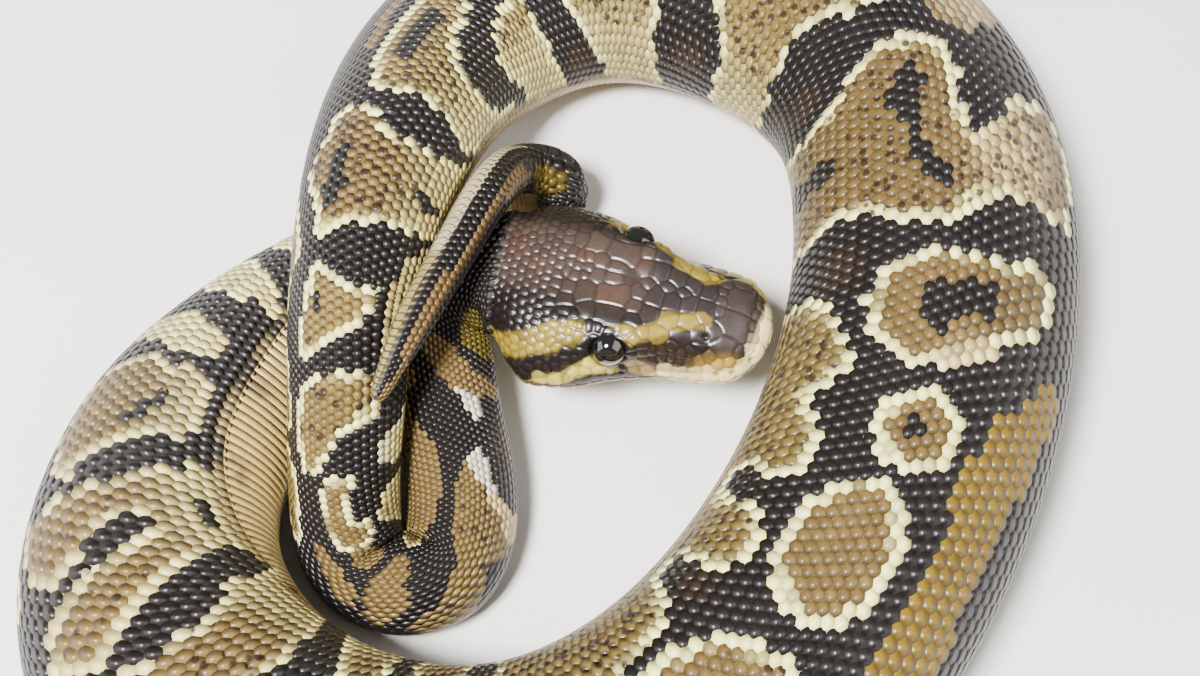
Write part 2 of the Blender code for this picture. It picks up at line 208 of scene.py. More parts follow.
def head_section(x, shares):
    """Outline of the head at x, at shares of its girth from the crown over its left side."""
    at = min(max(x, 0.0), HEAD_LENGTH)
    stations = [row[0] for row in HEAD_SIZES]
    crown, brow, brow_z, cheek, cheek_z, lip, jaw, jaw_z, throat = (
        float(ease_through(stations, [row[k] for row in HEAD_SIZES], [at])[0]) for k in range(1, 10))
    left = [(brow, brow_z), (cheek, cheek_z), (lip, 0.0), (jaw, -jaw_z)]
    corners = [(0.0, crown)] + left + [(0.0, -throat)] + [(-y, z) for y, z in reversed(left)]
    count = len(corners)
    loop = np.array(corners * 3 + corners[:1])
    girth = np.r_[0, np.cumsum(np.linalg.norm(np.diff(loop, axis=0), axis=1))]
    around = girth[count] + np.asarray(shares) * (girth[2 * count] - girth[count])
    outline = smooth_through(girth, loop, around)
    drawn = min(NAPE_FOLD, NAPE_FOLD * max(0.0, 1 - x / NAPE_FOLD_REACH) ** 1.5)
    outline[:, 0] *= np.where(outline[:, 0] < 0, 1 - drawn, 1)
    middle = np.array([0.0, (crown - throat) / 4])
    return middle + (outline - middle) * snout_share(x)


def snout_share(x):
    way = min(max((x - HEAD_LENGTH + SNOUT_ROUND) / SNOUT_ROUND, 0.0), 0.995)
    return (1 - way ** SNOUT_BLUNT) ** (1 / SNOUT_BLUNT)


def head_ring(x, shares):
    section = head_section(x, shares)
    return head_to_world(np.c_[np.full(len(section), x), section])


class Body:
    """The winding body: its spine, measured in mm from the head, and its surface."""

    def __init__(self):
        root = [tuple(head_to_world(np.array([x, 0.0, 0.0]))) for x in (3.0, 0.0)]
        names = ["in the head", "head root"] + [place[0] for place in SPINE]
        plan = np.array([point[:2] for point in root] + [place[1:3] for place in SPINE])
        lift = np.array([point[2] - GIRTH[0][1] for point in root] + [place[3] for place in SPINE])
        chords = np.linalg.norm(np.diff(np.c_[plan, lift], axis=0), axis=1)
        knots = np.r_[0, np.cumsum(chords ** KNOT_POWER)]
        knots -= knots[1]
        at = np.linspace(0, knots[-1], 4001)
        radius = ease_through([knots[names.index(n)] for n, _ in GIRTH], [v for _, v in GIRTH], at)
        press = ease_through([knots[names.index(n)] for n, _ in PRESS], [v for _, v in PRESS], at)
        roll = ease_through([knots[names.index(n)] for n, _ in ROLL], [v for _, v in ROLL], at)
        height = np.array([np.interp(k, at, radius / press) for k in knots]) + lift
        height -= np.where(lift < 0.03, SINK, 0)
        height[:2] = [point[2] for point in root]
        line = smooth_through(knots, np.c_[plan, height], at)
        self.s = np.r_[0, np.cumsum(np.linalg.norm(np.diff(line, axis=0), axis=1))]
        self.line, self.press, self.roll = line, press, roll
        way = np.gradient(line, axis=0)
        way /= np.linalg.norm(way, axis=1)[:, None]
        self.bend = np.gradient(way, axis=0) / np.gradient(self.s)[:, None]
        self.length = float(self.s[-1])
        from_tip = (self.length - self.s) / TAIL_ROUND
        self.girth = radius
        self.radius = radius * np.sqrt(1 - np.clip(1 - from_tip, 0, 0.97) ** 2)
        rows = np.arange(0, self.length + NET_STEP / 2, NET_STEP)
        turns = np.arange(NET_COLUMNS) / NET_COLUMNS
        self.net = np.array([self.ring(min(s, self.length), turns) for s in rows])

    def value(self, table, s):
        """One of the body's tables, read at s."""
        if table.ndim == 1:
            return np.interp(s, self.s, table)
        return np.stack([np.interp(s, self.s, table[:, k]) for k in range(3)], axis=-1)

    def axes(self, s):
        """Middle of the body at s, and its directions ahead, left and up."""
        middle = self.value(self.line, s)
        before = self.value(self.line, max(s - LOOK_ALONG, 0))
        ahead = before - self.value(self.line, min(s + LOOK_ALONG, self.length))
        ahead /= np.linalg.norm(ahead)
        up = np.array([0, 0, 1.0]) - ahead[2] * ahead
        up /= np.linalg.norm(up)
        return middle, ahead, np.cross(up, ahead), up

    def ring(self, s, shares):
        """Ring of points at s, at shares of a turn from the top over the snake's left side."""
        middle, _, left, up = self.axes(s)
        radius, press = self.value(self.radius, s), self.value(self.press, s)
        turn = 2 * math.pi * np.asarray(shares)
        outline = np.c_[np.sin(turn) * radius * press, np.cos(turn) * radius / press]
        if s < NECK_BLEND:
            way = ease(0, NECK_BLEND, s)
            outline += (head_section(0.0, shares) - outline) * (1 - way)
        points = middle + outline @ np.array([left, up])
        if 0 < s < NECK_BLEND:
            points += (head_ring(0.0, shares) - self.ring(0.0, shares)) * (1 - way)
        points = self.fold(points, middle, s)
        points[:, 2] = np.maximum(points[:, 2], 0)
        return points

    def fold(self, points, middle, s):
        """Draws points in on the inside of a tight bend, so that they don't cross."""
        bend = self.value(self.bend, s)
        tightness = np.linalg.norm(bend)
        if tightness < STRAIGHT:
            return points
        inward = bend / tightness
        reach = (points - middle) @ inward
        room = INNER_ROOM / tightness
        if reach.max() <= room:
            return points
        drawn = np.where(reach > 0, reach * (1 - room / reach.max()), 0)
        return points - np.outer(drawn, inward)

    def surface(self, s, turn):
        """Points of the surface at s and turn, in mm and degrees from the top to the left."""
        net = self.net
        row = np.clip(np.asarray(s, float) / NET_STEP, 0, len(net) - 1.001)
        column = np.asarray(turn, float) / 360 * NET_COLUMNS
        i, j = np.floor(row).astype(int), np.floor(column).astype(int)
        a, b = (row - i)[..., None], (column - j)[..., None]
        j, k = j % NET_COLUMNS, (j + 1) % NET_COLUMNS
        return ((net[i, j] * (1 - b) + net[i, k] * b) * (1 - a)
                + (net[i + 1, j] * (1 - b) + net[i + 1, k] * b) * a)

    def lifted(self, s, turn, height):
        """Points that stand above the surface by height (below it where negative)."""
        reach = 0.35
        wide = np.degrees(reach / self.value(self.radius, s))
        along = self.surface(s + reach, turn) - self.surface(s - reach, turn)
        across = self.surface(s, turn + wide) - self.surface(s, turn - wide)
        normal = np.cross(along, across)
        normal /= np.linalg.norm(normal, axis=-1)[..., None] + 1e-12
        return self.surface(s, turn) + normal * np.asarray(height)[..., None]


body = Body()


def scale_pitch(s):
    """From one scale to the next along the body at s; longer again along the tail."""
    girth = body.value(body.girth, s)
    plain = SCALE_LENGTH * (girth / WIDEST) ** 0.6
    return plain + (TAIL_SCALE * np.sqrt(girth / TAIL_GIRTH) - plain) * ease(*TAIL_GROWS, s)


def coat_depth(s):
    """How far the skin lies inside the body's outer surface at s."""
    depth = SCALE_DEPTH * SCALE_LENGTH * (body.value(body.girth, s) / WIDEST) ** 0.5
    return depth * (1 + 0.5 * ease(*TAIL_GROWS, s))


def scales_along():
    """Places along the body, and how many scales of a row lie before each."""
    fine = np.linspace(0, body.length, 4000)
    return fine, np.r_[0, np.cumsum(np.diff(fine) / scale_pitch((fine[1:] + fine[:-1]) / 2))]


# ---------------------------------------------------------------------------------------------
# Meshes.

def link(thing):
    bpy.context.scene.collection.objects.link(thing)
    return thing


def to_mesh(name, points, faces, colours, spots=None, flecked=None):
    """A mesh from points in mm, and arrays of faces that each have one number of corners."""
    mesh = bpy.data.meshes.new(name)
    mesh.vertices.add(len(points))
    mesh.vertices.foreach_set("co", (np.asarray(points) * MM).astype(np.float32).ravel())
    corners = np.concatenate([f.ravel() for f in faces]).astype(np.int32)
    sizes = np.concatenate([np.full(len(f), f.shape[1]) for f in faces])
    mesh.loops.add(len(corners))
    mesh.loops.foreach_set("vertex_index", corners)
    mesh.polygons.add(len(sizes))
    mesh.polygons.foreach_set("loop_start", np.r_[0, np.cumsum(sizes)[:-1]].astype(np.int32))
    mesh.update(calc_edges=True)
    tint = mesh.color_attributes.new(name="tint", type="FLOAT_COLOR", domain="POINT")
    tint.data.foreach_set("color", np.c_[colours, np.ones(len(points))].astype(np.float32).ravel())
    if flecked is not None:
        layer = mesh.attributes.new("flecked", "FLOAT", "POINT")
        layer.data.foreach_set("value", flecked.astype(np.float32))
    if spots is not None:
        layer = mesh.uv_layers.new(name="OFBake")
        layer.uv.foreach_set("vector", spots[corners].astype(np.float32).ravel())
    mesh.shade_smooth()
    return link(bpy.data.objects.new(name, mesh))


def repeated(faces, count, corners):
    """The faces of one scale, for a number of scales whose points follow each other."""
    start = (np.arange(count) * corners)[:, None, None]
    return [(part[None] + start).reshape(-1, part.shape[1]) for part in faces]


def band(first, rings, around):
    """Quads between closed rings of points, from the number of their first point."""
    k = np.arange(around)
    after = (k + 1) % around
    row = (first + around * np.arange(rings - 1))[:, None]
    return np.stack([row + k, row + around + k, row + around + after, row + after], axis=-1).reshape(-1, 4)


def srgb(code):
    """An sRGB hex colour as linear red, green and blue."""
    parts = np.array([int(code[k:k + 2], 16) / 255 for k in (0, 2, 4)])
    return np.where(parts < 0.04045, parts / 12.92, ((parts + 0.055) / 1.055) ** 2.4)


INK = srgb("2e2725")
UMBER = srgb("4e3a2b")
TAN = srgb("9a7c46")
CREAM = srgb("fcf49c")
IVORY = srgb("e4d286")
PEACH = srgb("e0c282")
FAWN = srgb("a88c4c")
TAIL_CREAM = srgb("c2b08c")
TAIL_STRAW = srgb("a8965c")
CHALK = srgb("d8d0bc")
STRAW = srgb("a88426")
OLIVE = srgb("857024")
ROSE_TAN = srgb("a07c48")
# The belly's pale colour, darkened to how it looks in shade: painted shade in its own colour.
SHADED_BELLY = srgb("a78d56")
FLECK = srgb("281b13")

# Light patches of the left flank and the back: heart colour, edge colour, share of flecked scales,
# and the outline in mm along the body and round it from the spine, toward the snake's left.
PATCHES = [
    # neck
    ("nape stripe", OLIVE, OLIVE, 0, [(3.6, -4.8), (4.5, -3.2), (5.5, -2.5), (7.5, -2.2), (9.8, -2.2),
        (11, -3.3), (11.6, -4.2), (11.3, -6), (10.8, -8), (9, -9.5), (5, -9), (2, -8)]),
    ("neck bar", TAN, ROSE_TAN, 0, [(8.8, 0.5), (9.5, 1.3), (10.3, 1.7), (11.5, 1), (13, 0.2), (14.5, -0.8),
        (15.8, -1.6), (15.2, -2.5), (14.9, -3), (15.4, -4), (15.6, -6.5), (14.6, -6.5), (13.6, -4.5),
        (12.8, -3.3), (11.5, -2.2), (10.2, -1), (9.3, -0.3)]),
    ("white tip", CHALK, CHALK, 0, [(14, -0.8), (15.5, -0.9), (17.4, -1.8), (17, -2.5), (15.2, -2.7),
        (14.4, -1.9)]),
    ("neck flank", TAN, TAN, 0, [(11.3, 3.4), (12.6, 2.5), (14, 3.8), (15.2, 4), (16.6, 3.3), (18.5, 2.2),
        (21, 2), (24, 2.4), (26.5, 2.7), (29, 3.2), (29.9, 4.6), (29.4, 7), (27, 10), (20, 11), (15.5, 9),
        (12, 6)]),
    ("neck blotch", TAN, TAN, 0.3, [(19.6, -1.2), (20.3, -0.5), (21.5, 0.3), (23, 0.9), (24.5, 1.2),
        (26.5, 1.2), (28.5, 0.9), (30, 0.3), (31, -0.8), (32.4, -2), (33.4, -3.2), (34, -4.6), (33, -6),
        (31.5, -7.5), (30.8, -5.5), (30.2, -4.4), (29.3, -3.4), (28.9, -3.2), (28.8, -4.5), (28, -5),
        (27, -6), (26, -8), (24.8, -8), (25.4, -5.2), (25.2, -4), (24.4, -3.4), (23.6, -2.5), (22.3, -2.4),
        (20.8, -2)]),
    ("white end", CHALK, CHALK, 0, [(19.6, -1.2), (20.3, -0.5), (21, 0), (22, -0.4), (23, -1), (24, -1.6),
        (24.6, -2.6), (24.4, -3.4), (23.6, -2.5), (22.3, -2.4), (20.8, -2)]),
    ("pale end", PEACH, PEACH, 0, [(24, -1.4), (25.4, -2), (26.4, -3.4), (27.6, -4.6), (27, -6), (26, -8),
        (24.8, -8), (25.4, -5.2), (25.2, -4), (24.4, -3.2), (24.2, -2.4)]),
    ("loop flank", TAN, IVORY, 0, [(30.8, 6), (31.5, 4.6), (33, 3.6), (34.2, 3.6), (34.6, 5), (35, 8),
        (32, 9)]),
    ("loop spot", TAN, TAN, 0, [(34.1, 2.8), (34.9, 3), (35.6, 2.6), (36.2, 1.4), (36.7, 0.4), (36.5, -1),
        (36.3, -2.3), (35.6, -3.5), (34.9, -3.5), (34.3, -2.5), (34, -1.2), (34.2, 0.5), (34, 1.5)]),
    ("loop sliver", TAN, TAN, 0, [(37, -2.6), (36.9, -1.2), (37.4, -0.2), (38.5, 0.6), (39.8, 1.2),
        (41.5, 1.1), (42, 0.5), (41, 0.1), (39.8, -0.3), (38.6, -1), (37.8, -2)]),
    ("loop bar", TAN, TAN, 0, [(36.7, 2.5), (36.8, 3.8), (37.6, 5), (38.5, 5.6), (39.6, 5.2), (40.5, 4.6),
        (41, 3), (40, 2.8), (38.6, 2.2), (37.4, 1.9)]),
    # rising arm
    ("arm start", TAN, CREAM, 0, [(40.3, 3), (40.5, 4.6), (41.5, 5.6), (42.5, 6.2), (43.4, 5.8),
        (43.3, 4.7), (44.2, 4.2), (46, 4.8), (48.4, 5.3), (48.1, 4), (47.2, 2.5), (45.5, 2.1), (43, 1.8),
        (41, 2.1)]),
    ("arm start flank", TAN, IVORY, 0.27, [(42.3, 9.5), (42.6, 7.6), (43.4, 6.8), (45, 7.2), (46, 8),
        (47.3, 9.2), (48, 11), (46, 14), (42, 13)]),
    ("arm streak", IVORY, CHALK, 0, [(48.6, 9.8), (49.1, 8), (50, 7.2), (50.9, 8.3), (52.2, 9.8), (54, 12),
        (51, 14)]),
    ("arm 1", FAWN, CREAM, 0.41, [(47.9, 1.8), (48.1, 2.7), (49.2, 3.1), (50.6, 3.9), (51.8, 4.9),
        (52.6, 6.2), (53, 7.6), (54.6, 8.2), (56.2, 7), (56.3, 5.5), (56.1, 4), (56, 3), (55.6, 1.8),
        (54.8, 0.8), (53.2, 0.1), (51.5, 0.1), (49.5, 0.5), (48.1, 0.9)]),
    ("arm 2", FAWN, CREAM, 0.14, [(57.1, 1.5), (57.3, 2.7), (58.2, 3.6), (58.9, 5), (59.2, 6.3), (60, 6.6),
        (61, 7.2), (62.3, 8.1), (62.6, 7), (62.4, 5.8), (63.1, 4.4), (64, 3.2), (64.4, 2.4), (63.8, 1.7),
        (62, 1.2), (60, 0.9), (58.2, 0.5), (57.3, 0.8)]),
    ("arm ribbon", ROSE_TAN, ROSE_TAN, 0, [(55.5, 8.3), (58, 8.4), (61, 8.6), (64, 9.6), (66, 11),
        (67.5, 13), (69, 16), (66, 15), (63, 12), (60, 10.6), (56.5, 9.6)]),
    ("arm 3", TAN, CREAM, 0.61, [(65.9, 2.2), (66.8, 4), (67.1, 6), (67.7, 8.5), (67.3, 10), (68, 11.5),
        (67.9, 13), (69, 15.2), (71, 17), (75, 20), (79, 24), (84, 24), (81, 19.5), (78.3, 17),
        (75.9, 14.5), (75.2, 12.5), (74.9, 10.5), (75, 8), (75.4, 6.3), (76.6, 5.6), (77.2, 4.8), (77.3, 3),
        (77, 1.8), (74.8, 1.3), (73.2, 0.5), (71.5, -0.3), (70.2, 0.3), (69, 1.4), (67, 1.8)]),
    ("arm 4", FAWN, CREAM, 0.47, [(79, 4.4), (78.7, 5.5), (78.9, 7), (79.3, 9), (78.7, 11), (78.4, 12.8),
        (77.2, 13.9), (78.4, 15.8), (80.5, 17.4), (83.5, 19.8), (86, 24), (96, 25), (94.5, 21), (92, 19.6),
        (90, 18.2), (87.3, 17.2), (85.3, 16.4), (84.4, 14.5), (84, 12.5), (84.5, 10.9), (86, 10), (88, 9.2),
        (90, 8.8), (92, 8.2), (94, 7.7), (97, 7), (99, 5.8), (98, 4.2), (95, 3.6), (91, 3.5), (83.5, 3.3),
        (81, 3.8)]),
    ("arm under strip", ROSE_TAN, ROSE_TAN, 0, [(83.5, 2.3), (85, 2.6), (88, 2.4), (92, 2.4), (94, 1.8),
        (92, 1.2), (88, 1.1), (85, 1.3)]),
    ("top 1", FAWN, CREAM, 0.54, [(91, 11.6), (90, 13.4), (90.2, 15.4), (91.8, 16.8), (93, 18.6),
        (94.5, 21), (97, 27), (104.5, 27), (102, 20.3), (101.3, 18.5), (100.3, 17), (100.4, 15.5),
        (99.8, 14), (100, 12), (100.4, 10), (100, 8), (98.6, 8.6), (97.5, 9.4), (95.5, 9.8), (93.2, 10.3)]),
    ("top 2", FAWN, CREAM, 0.68, [(104, 9), (104.6, 11.5), (105.5, 12.5), (106.5, 14), (107, 15.5),
        (106.8, 16.8), (108, 18.5), (109.2, 20), (111, 25), (112, 30), (120, 30), (119.6, 23), (119, 20),
        (119, 18.5), (118.8, 17), (119.3, 15.8), (119, 14), (119, 11), (117, 8), (113, 6.5), (108, 6.5),
        (105, 7.5)]),
    ("top 3", FAWN, CREAM, 0.68, [(124.6, 10), (126, 12.5), (127.2, 14.6), (128.4, 17.2), (128.5, 19.5),
        (127.5, 23), (127.5, 30), (134.8, 30), (136, 24), (137.6, 21.5), (138.7, 18), (137.5, 16.4),
        (137.8, 14), (137.2, 12), (138, 10), (139.2, 8), (140.8, 5.5), (141.2, 3), (139, 1.3), (135, 1.2),
        (131, 3), (127, 6), (125, 8)]),
    # right side of the coil
    ("shoulder tail", TAN, ROSE_TAN, 0, [(141, -1.5), (144, -0.3), (146.5, -1), (147.3, -3.5),
        (146.8, -5.5), (145.8, -10), (143, -12), (137, -11), (133.5, -7), (136, -2.5)]),
    ("shoulder", TAN, CREAM, 0.74, [(147.3, 23.5), (149, 21), (150.5, 18.5), (151, 16), (150.3, 14),
        (150.2, 12), (149, 10.5), (147.5, 9), (146.3, 7.5), (145.2, 6.5), (145, 5), (146, 2.5), (147, 1),
        (147.8, -0.2), (151, -0.8), (154, -0.7), (156, -1), (157, -2), (156, -3), (155, -4), (154, -5),
        (153.3, -7), (152.8, -9), (153, -10.5), (154.5, -12), (157, -13), (160, -12.8), (163, -12.2),
        (163.7, -10.5), (163.5, -8), (163, -5), (163, -3), (164, -1.5), (165.5, -0.3), (165.9, 1), (166, 3),
        (166, 5), (165.3, 7), (164.5, 9), (164.5, 11), (165.5, 13), (166.6, 15), (167, 17), (166.5, 20),
        (166, 27), (147, 27)]),
    ("eyed blotch", TAN, CREAM, 0, [(168.2, -2), (168.2, 1), (168.8, 3), (170, 5), (172, 6.2), (174, 6.6),
        (176, 6.2), (178, 5.3), (179.3, 4), (179.8, 2.5), (179.9, 1), (179.4, -0.5), (178.7, -1.3),
        (178, -2.5), (177, -4), (175.8, -5.5), (174.8, -7), (173.8, -8.3), (172.5, -9), (170.5, -9.4),
        (168.8, -9.2), (167.6, -8), (167.8, -6), (168.4, -4)]),
    ("round blotch", TAN, CREAM, 0, [(181.3, -0.5), (181.9, 0.9), (183, 2.2), (185, 2.9), (187.3, 2.6),
        (188.8, 1), (189.4, -0.8), (188.7, -2.5), (187, -3.8), (185, -4.2), (183, -3.6), (181.6, -2.3)]),
    ("oval blotch", TAN, CREAM, 0, [(190.4, 0.5), (191, 2), (193, 3.6), (195.5, 4.8), (198, 5.2),
        (200.5, 5), (202.5, 3.8), (204, 1.8), (204.4, 0), (203.8, -1.5), (202.3, -2.8), (200, -3.6),
        (197, -3.9), (194.5, -3.5), (192.3, -2.4), (190.8, -1)]),
    ("next blotch", TAN, CREAM, 0.14, [(207, -1.5), (207, 0), (208, 2.5), (209.3, 4.5), (211, 5.8),
        (213, 6.5), (217, 6.4), (220, 4), (221, 0), (219, -4), (214, -5), (209, -4)]),
    ("flank scallops", FAWN, CREAM, 0.54, [(171.7, 20), (172.5, 18), (173.5, 15.5), (173, 13), (174.5, 11),
        (175, 9.5), (176.5, 8.5), (178, 7.2), (180, 6.4), (182, 6.2), (183.3, 7), (184, 8.5), (184.8, 9.1),
        (186, 8.2), (187.2, 6.8), (189, 5.8), (191, 5.6), (193, 6.5), (194, 8), (194.2, 9.8), (193.5, 11.5),
        (193.8, 13), (195, 13.8), (196.6, 13.2), (197, 10.5), (197.3, 8), (198.8, 6.5), (201, 5.9),
        (203, 6.3), (204.6, 7.5), (205, 9.5), (204.8, 12), (206, 13.6), (208, 13), (209.3, 11.4),
        (210.2, 9.6), (211.5, 8.4), (214, 8), (219, 7.4), (224, 7.6), (228, 9), (230, 12), (230.4, 16),
        (229.8, 20), (229, 27), (171, 27)]),
    ("right stripe", STRAW, STRAW, 0, [(176.8, -9.6), (178.5, -8.5), (180, -7.5), (181.2, -6.4),
        (183, -5.6), (186, -5.3), (190, -5.2), (193, -5.8), (196, -6.2), (199, -6.3), (202, -5.8),
        (206, -5.6), (212, -7), (217, -9), (221, -12), (222, -16), (216, -15), (210, -13), (204, -12),
        (198, -11.6), (193, -10.2), (190, -10.4), (187, -11), (184, -12), (180, -12.8), (177, -13.6),
        (176, -12)]),
    ("right low sliver", UMBER, UMBER, 0, [(163, -13.4), (166, -12.8), (170, -12.6), (173.5, -13.2),
        (174, -14.4), (168, -14.4)]),
    # left side of the coil
    ("foot 1", TAN, IVORY, 0.27, [(234, 18), (233.6, 20.5), (233.4, 27), (240.8, 27), (240.8, 22),
        (241, 19), (240.6, 14), (239, 10), (236.5, 9.4), (234.6, 12)]),
    ("foot 2", TAN, CREAM, 0.41, [(243.4, 20), (243, 22), (243.6, 25), (244, 30), (253.5, 30), (252.4, 26),
        (251.2, 23.5), (250.2, 21), (249.5, 19.5), (248.6, 18), (248.9, 14), (248.4, 10.5), (246.5, 8.6),
        (244.3, 9.6), (243.4, 13)]),
    ("left 1", TAN, IVORY, 0.68, [(253.9, 16.2), (253.6, 17.5), (254.2, 19), (254, 21), (254.6, 22.5),
        (255.6, 24.5), (256.2, 27), (257, 32), (270, 32), (268, 27), (267, 25.6), (266, 24.2),
        (265.9, 22.6), (265.8, 21.4), (264.6, 20.2), (263, 18.8), (262.3, 16.5), (262.3, 14.5),
        (261.9, 12.5), (262, 10.2), (261, 8), (258, 7), (255.4, 8.5), (254, 12)]),
    ("left 2", TAN, IVORY, 0.14, [(263, 9.7), (264.4, 11.8), (265.4, 13.7), (266.5, 15.6), (267.5, 17.2),
        (268.3, 19), (268.9, 20.8), (269.7, 22.2), (270.1, 24), (269.6, 26), (272, 28), (281, 26),
        (280, 20.8), (278.8, 19.4), (278.5, 17), (277.4, 14.2), (277, 11.5), (276.4, 8), (275.4, 5.4),
        (273, 5.7), (271, 7), (270.4, 8.6), (270.6, 10), (271.4, 11.9), (272.6, 13.3), (273.7, 15.2),
        (274, 16.6), (273.5, 17.7), (272.4, 17.7), (271.9, 16), (271.2, 14.3), (270.4, 12.4), (269.9, 10.7),
        (268.7, 8.4), (267.2, 6.7), (265.4, 5.4), (263.8, 7.4)]),
    ("left 3", TAN, CREAM, 0, [(270.3, 4.6), (271.5, 4.4), (273.6, 3), (273, 1.6), (271.2, 1.6), (270, 3)]),
    ("left 4", TAN, IVORY, 0, [(278, 11), (279.2, 11.7), (280, 12.8), (280.8, 14.3), (281.4, 15.8),
        (282, 17.6), (282.2, 19.4), (283.5, 20.2), (286, 19.8), (288.5, 18.8), (290, 17.2), (290.3, 16),
        (289.4, 14.6), (290, 13), (289.6, 11), (288, 9), (286, 7.6), (282, 7.2), (279, 8.6)]),
    ("left 5", IVORY, IVORY, 0, [(292, 16.8), (293.4, 16), (294.6, 14.8), (295.2, 13.2), (295.4, 11.5),
        (294.6, 9), (292.8, 7.5), (291.4, 8.5), (291.2, 11), (291, 13), (291.4, 15)]),
    ("left 6", IVORY, CREAM, 0, [(299.2, 15.2), (300.6, 14.6), (301.8, 13.2), (302.6, 11.2), (303, 9),
        (302.4, 6.5), (300.4, 5), (298.6, 6), (298.2, 9), (298.6, 12), (298.8, 13.6)]),
    # hind end and tail
    ("hind 1", IVORY, CREAM, 0, [(304.8, 6), (306, 14), (312, 12), (313.5, 8), (312, 5), (308, 4)]),
    ("hind 2", TAN, IVORY, 0.27, [(316, 4), (316.5, 11), (322, 10), (323, 5), (320, 3.4)]),
    ("tail base", UMBER, UMBER, 0, [(326, 1), (326, 8), (332, 7), (333, 2), (330, 0.6)]),
    ("tail ridge", TAIL_CREAM, TAIL_CREAM, 0, [(339, 1.7), (341, 0.9), (343, 0.2), (345, -0.1), (348, -0.4),
        (350, -0.3), (352, 0), (355, 0), (358, 0.2), (358, 4.2), (350, 4.6), (342, 5), (338, 4)]),
    ("tail ridge end", TAIL_STRAW, TAIL_STRAW, 0, [(358, 0.2), (360, 0.4), (363, 0.5), (366, 0.3),
        (371, 0.3), (373, 0.4), (373, 2.6), (366, 3.4), (360, 4), (358, 4.2)]),
    # Painted shade: the tail's pale stripe where it turns down into shadow, in its shaded olive.
    ("tail stripe in shade", OLIVE, OLIVE, 0, [(335.5, -1.6), (337, -1.3), (339, -1.6), (341, -2.3), (342.7, -2.4),
        (342, -3.3), (340, -4.2), (338, -4.6), (336, -4), (335.3, -2.6)]),
    ("tail side", ROSE_TAN, ROSE_TAN, 0, [(342.5, -3), (345, -1.9), (348, -1.9), (351, -1.7), (354, -1.4),
        (356, -1.7), (358, -1.4), (361, -0.9), (363, -0.7), (366, -0.9), (369, -0.7), (373, -0.3),
        (373, -2), (368, -1.7), (362, -1.9), (356, -2.6), (350, -2.7), (344, -4)]),
]

# Dark marks laid over the light patches, with no pale edge of their own.
SPOTS = [
    ("arm 2 fleck", [(60.6, 2.5), (61.3, 3), (62, 2.7), (61.4, 2.2)]),
    ("arm 3 eye", [(68.3, 2.4), (68.6, 3.8), (70, 4.2), (72, 4.2), (73.6, 4.3), (73.8, 3.5), (73, 2.8),
        (71, 2.3), (69.5, 2)]),
    ("arm 3 streak", [(70, 12.4), (69.8, 11), (71, 10.2), (71.6, 11.2), (71, 12.5), (71.4, 14.2),
        (70.3, 13.8)]),
    ("arm 4 eye", [(82.4, 5.6), (82.8, 6.4), (84.3, 7), (86, 7.2), (88, 7.1), (89.5, 6.8), (91.9, 6.4),
        (91.2, 5.9), (89, 5.5), (87, 5.2), (84.5, 5.1), (83, 5.1)]),
    ("shoulder key", [(149, 3), (149.2, 4.5), (150.5, 5.1), (152, 5.6), (154, 5.3), (155.5, 4.4),
        (157, 3.9), (159, 3.7), (160.5, 3.1), (161.6, 2), (162.1, 0.8), (161.3, 0.2), (160.2, 0.8),
        (159, 1.8), (157.5, 2.4), (156, 2.6), (154, 2.8), (152.5, 2.4), (151, 2.2), (149.8, 2.4)]),
    ("shoulder streak", [(156.4, 27), (156.2, 18), (157, 16), (157, 14.3), (156, 13), (156.1, 11.8),
        (157, 10.8), (158.2, 10.7), (159.1, 12), (158.9, 13.5), (159.9, 15), (160.3, 17), (159.9, 19),
        (159.6, 27)]),
    ("blotch eye", [(170, -4.2), (170.3, -3), (171, -2), (171.5, -0.5), (171.8, 1), (172.5, 1.8),
        (174, 1.9), (175.5, 1.8), (176.6, 1), (176.3, 0), (175.3, -0.8), (174.3, -2), (173.7, -3),
        (174.3, -3.8), (173, -4.3), (171.5, -4.3)]),
    ("round blotch eye", [(184.2, -0.1), (184.8, 0.8), (185.8, 0.7), (186.3, -0.2), (185.8, -1.1),
        (184.8, -1)]),
    ("left 4 mark", [(282.6, 14), (283.4, 15.6), (285, 16.2), (286.8, 16.4), (285.8, 15.4), (284.4, 14.6),
        (283.4, 13.4)]),
    ("belly edge 1", [(272.5, 23), (273.5, 21.9), (275, 21.3), (276.3, 20.4), (277.1, 21), (275.4, 22),
        (274, 23)]),
    ("belly edge 2", [(279, 21.2), (281, 20.4), (283, 20.9), (285, 20.4), (287, 19.6), (289, 18.8),
        (290.8, 17.8), (292, 16.4), (293.6, 15.4), (294, 16.2), (292.4, 17.8), (290, 19.8), (287.6, 20.9),
        (285, 21.6), (282, 21.8)]),
    ("belly edge 3", [(295, 14.2), (296, 13), (298, 12.4), (299.4, 13.2), (298, 14.6), (296.6, 15.2)]),
]

# Browner hearts of the dark ground, in mm along, mm round, and reach.
BROWN_HEARTS = [
    (144, 20, 4.5), (146, 14, 3), (105, 19, 3.2), (124, 19, 3), (170.5, 10, 3.2), (171, 17, 3),
    (207, 9, 2.5), (153.5, -13, 3), (19.8, -5, 2.6), (232, 16, 3), (252.5, 25, 2.5), (158, 18, 1.8),
]
# Paler peach places of the light patches, in the same measures: partly their own paler tone, partly a painted
# highlight where a broad sheen lies on the coil.
PALE_SHEEN_HEARTS = [(158.5, -5.5, 6.0), (178, -3, 3.0), (144, -5, 5.0)]
# The unseen right flank of these lengths carries the left one's patches, shifted along the body.
MIRRORED = [(44.0, 132.0, -6.0), (224.0, 330.0, 5.0)]
FLANK_FROM = 8.0          # only patches that reach past this distance from the spine are carried
